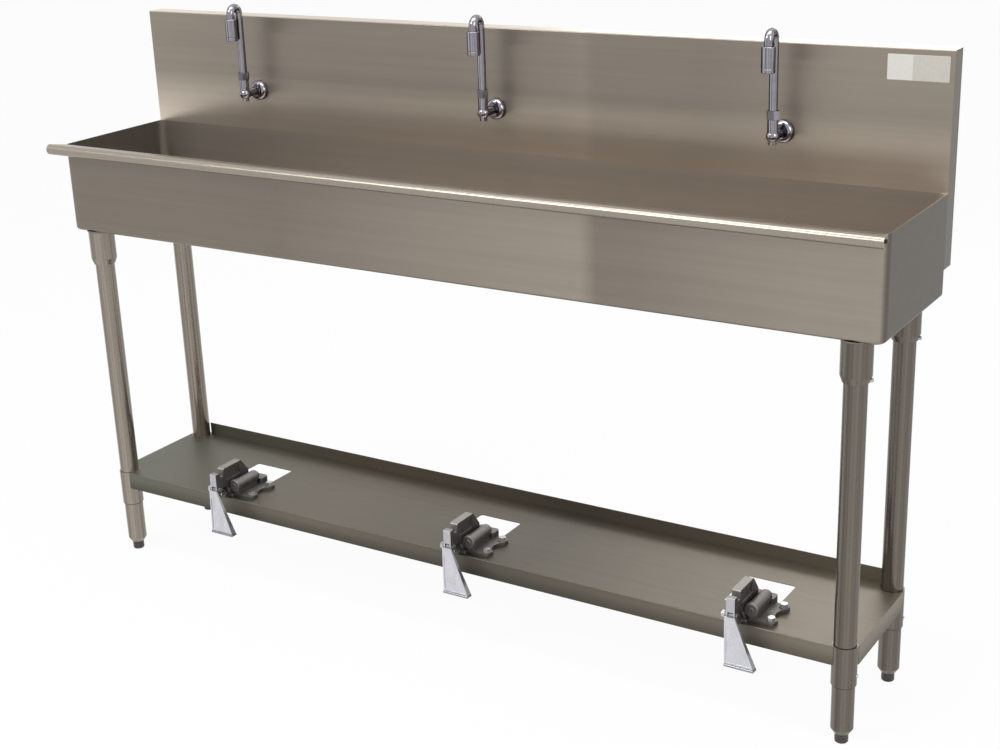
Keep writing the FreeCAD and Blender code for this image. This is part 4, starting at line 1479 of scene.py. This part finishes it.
@dataclass
class Studio:
    """The floor, the lamps and the camera."""

    eye: Point = (1.7359, -2.5810, 1.6302)
    yaw: float = 32.66
    pitch: float = 19.61
    roll: float = -2.13
    lens: float = 58.705
    floor_reach: float = 30.0
    floor_white: float = 0.95
    sky_level: float = 0.45
    lamps: tuple[Lamp, ...] = (
        Lamp("key", (-1.6, -3.2, 3.6), (0.0, 0.0, 0.7), (2.0, 1.4), 85.0),
        Lamp("top", (0.3, -0.6, 3.6), (0.0, 0.0, 0.9), (3.2, 1.0), 55.0),
        Lamp("side", (3.6, -1.2, 2.2), (0.0, 0.0, 0.7), (1.2, 1.8), 36.0),
        Lamp("back", (0.0, 3.4, 2.2), (0.0, 0.0, 1.1), (3.0, 0.8), 20.0),
    )

    def camera(self) -> None:
        """Stand the camera where the reference view was taken from."""
        yaw, pitch, roll = (math.radians(a) for a in (self.yaw, self.pitch, self.roll))
        ahead = Vector((-math.sin(yaw) * math.cos(pitch), math.cos(yaw) * math.cos(pitch), -math.sin(pitch)))
        right = Vector((math.cos(yaw), math.sin(yaw), 0.0))
        up = right.cross(ahead)
        across = right * math.cos(roll) + up * math.sin(roll)
        above = up * math.cos(roll) - right * math.sin(roll)
        data = bpy.data.cameras.new("camera")
        data.sensor_width = 36.0
        data.lens = self.lens
        data.clip_end = 100.0
        made = bpy.data.objects.new("camera", data)
        bpy.context.scene.collection.objects.link(made)
        turn = Matrix((across, above, -ahead)).transposed()
        made.matrix_world = Matrix.Translation(Vector(self.eye)) @ turn.to_4x4()
        bpy.context.scene.camera = made

    def floor(self) -> None:
        """Lay a plain pale floor that keeps the sink's shadow."""
        mesh = bpy.data.meshes.new("floor")
        r = self.floor_reach
        mesh.from_pydata([(-r, -r, 0), (r, -r, 0), (r, r, 0), (-r, r, 0)], [], [(0, 1, 2, 3)])
        graph = Graph("pale_floor")
        graph.shader.inputs["Base Color"].default_value = (0.86, 0.86, 0.86, 1.0)
        graph.set(Roughness=0.8)
        glow = graph.node("Emission")
        mix = graph.node("MixShader")
        graph.link(graph.combine("MULTIPLY", self.seen_ray(graph), self.floor_white), mix.inputs[0])
        graph.link(graph.shader.outputs[0], mix.inputs[1])
        graph.link(glow.outputs[0], mix.inputs[2])
        graph.link(mix.outputs[0], graph.tree.nodes["Material Output"].inputs["Surface"])
        mesh.materials.append(graph.material)
        made = bpy.data.objects.new("floor", mesh)
        bpy.context.scene.collection.objects.link(made)

    def seen_ray(self, graph: Graph) -> Socket:
        """Give 1 for rays from the camera, or that mirror or pass through to it.

        Args:
            graph: The finish's graph.

        Returns:
            The value socket.
        """
        path = graph.node("LightPath")
        seen = path.outputs[SEEN_RAYS[0]]
        for other in SEEN_RAYS[1:]:
            seen = graph.combine("MAXIMUM", seen, path.outputs[other])
        return seen

    def sky(self) -> None:
        """Surround the sink with an even white."""
        world = bpy.data.worlds.new("studio")
        bpy.context.scene.world = world
        world.use_nodes = True
        tree = world.node_tree
        path = tree.nodes.new("ShaderNodeLightPath")
        seen = path.outputs[SEEN_RAYS[0]]
        for other in SEEN_RAYS[1:]:
            both = tree.nodes.new("ShaderNodeMath")
            both.operation = "MAXIMUM"
            tree.links.new(seen, both.inputs[0])
            tree.links.new(path.outputs[other], both.inputs[1])
            seen = both.outputs[0]
        level = tree.nodes.new("ShaderNodeMapRange")
        level.inputs["To Min"].default_value = self.sky_level
        level.inputs["To Max"].default_value = 1.0
        tree.links.new(seen, level.inputs["Value"])
        tree.links.new(level.outputs["Result"], tree.nodes["Background"].inputs["Strength"])
        tree.nodes["Background"].inputs["Color"].default_value = (1.0, 1.0, 1.0, 1.0)

    def build(self) -> None:
        """Set up the whole studio."""
        bpy.context.scene.view_settings.view_transform = "Standard"
        self.camera()
        self.floor()
        self.sky()
        for lamp in self.lamps:
            lamp.hang()
        log.info("studio set up")


# ---------------------------------------------------------------------------
# Everything in order
# ---------------------------------------------------------------------------

def main() -> None:
    """Dress the sink, sub-assembly by sub-assembly, and light it."""
    logging.basicConfig(level=logging.INFO, format="%(name)s: %(message)s")
    shop = Workshop(Finishes())
    Trough().build(shop)
    LegSet().build(shop)
    Undershelf().build(shop)
    BasketDrain().build(shop)
    for station in STATIONS:
        Faucet(station).build(shop)
        ToeValve(station).build(shop)
    Fasteners().build(shop)
    Studio().build()
    log.info("%d pieces in all", shop.count)


if __name__ == "__main__":
    main()
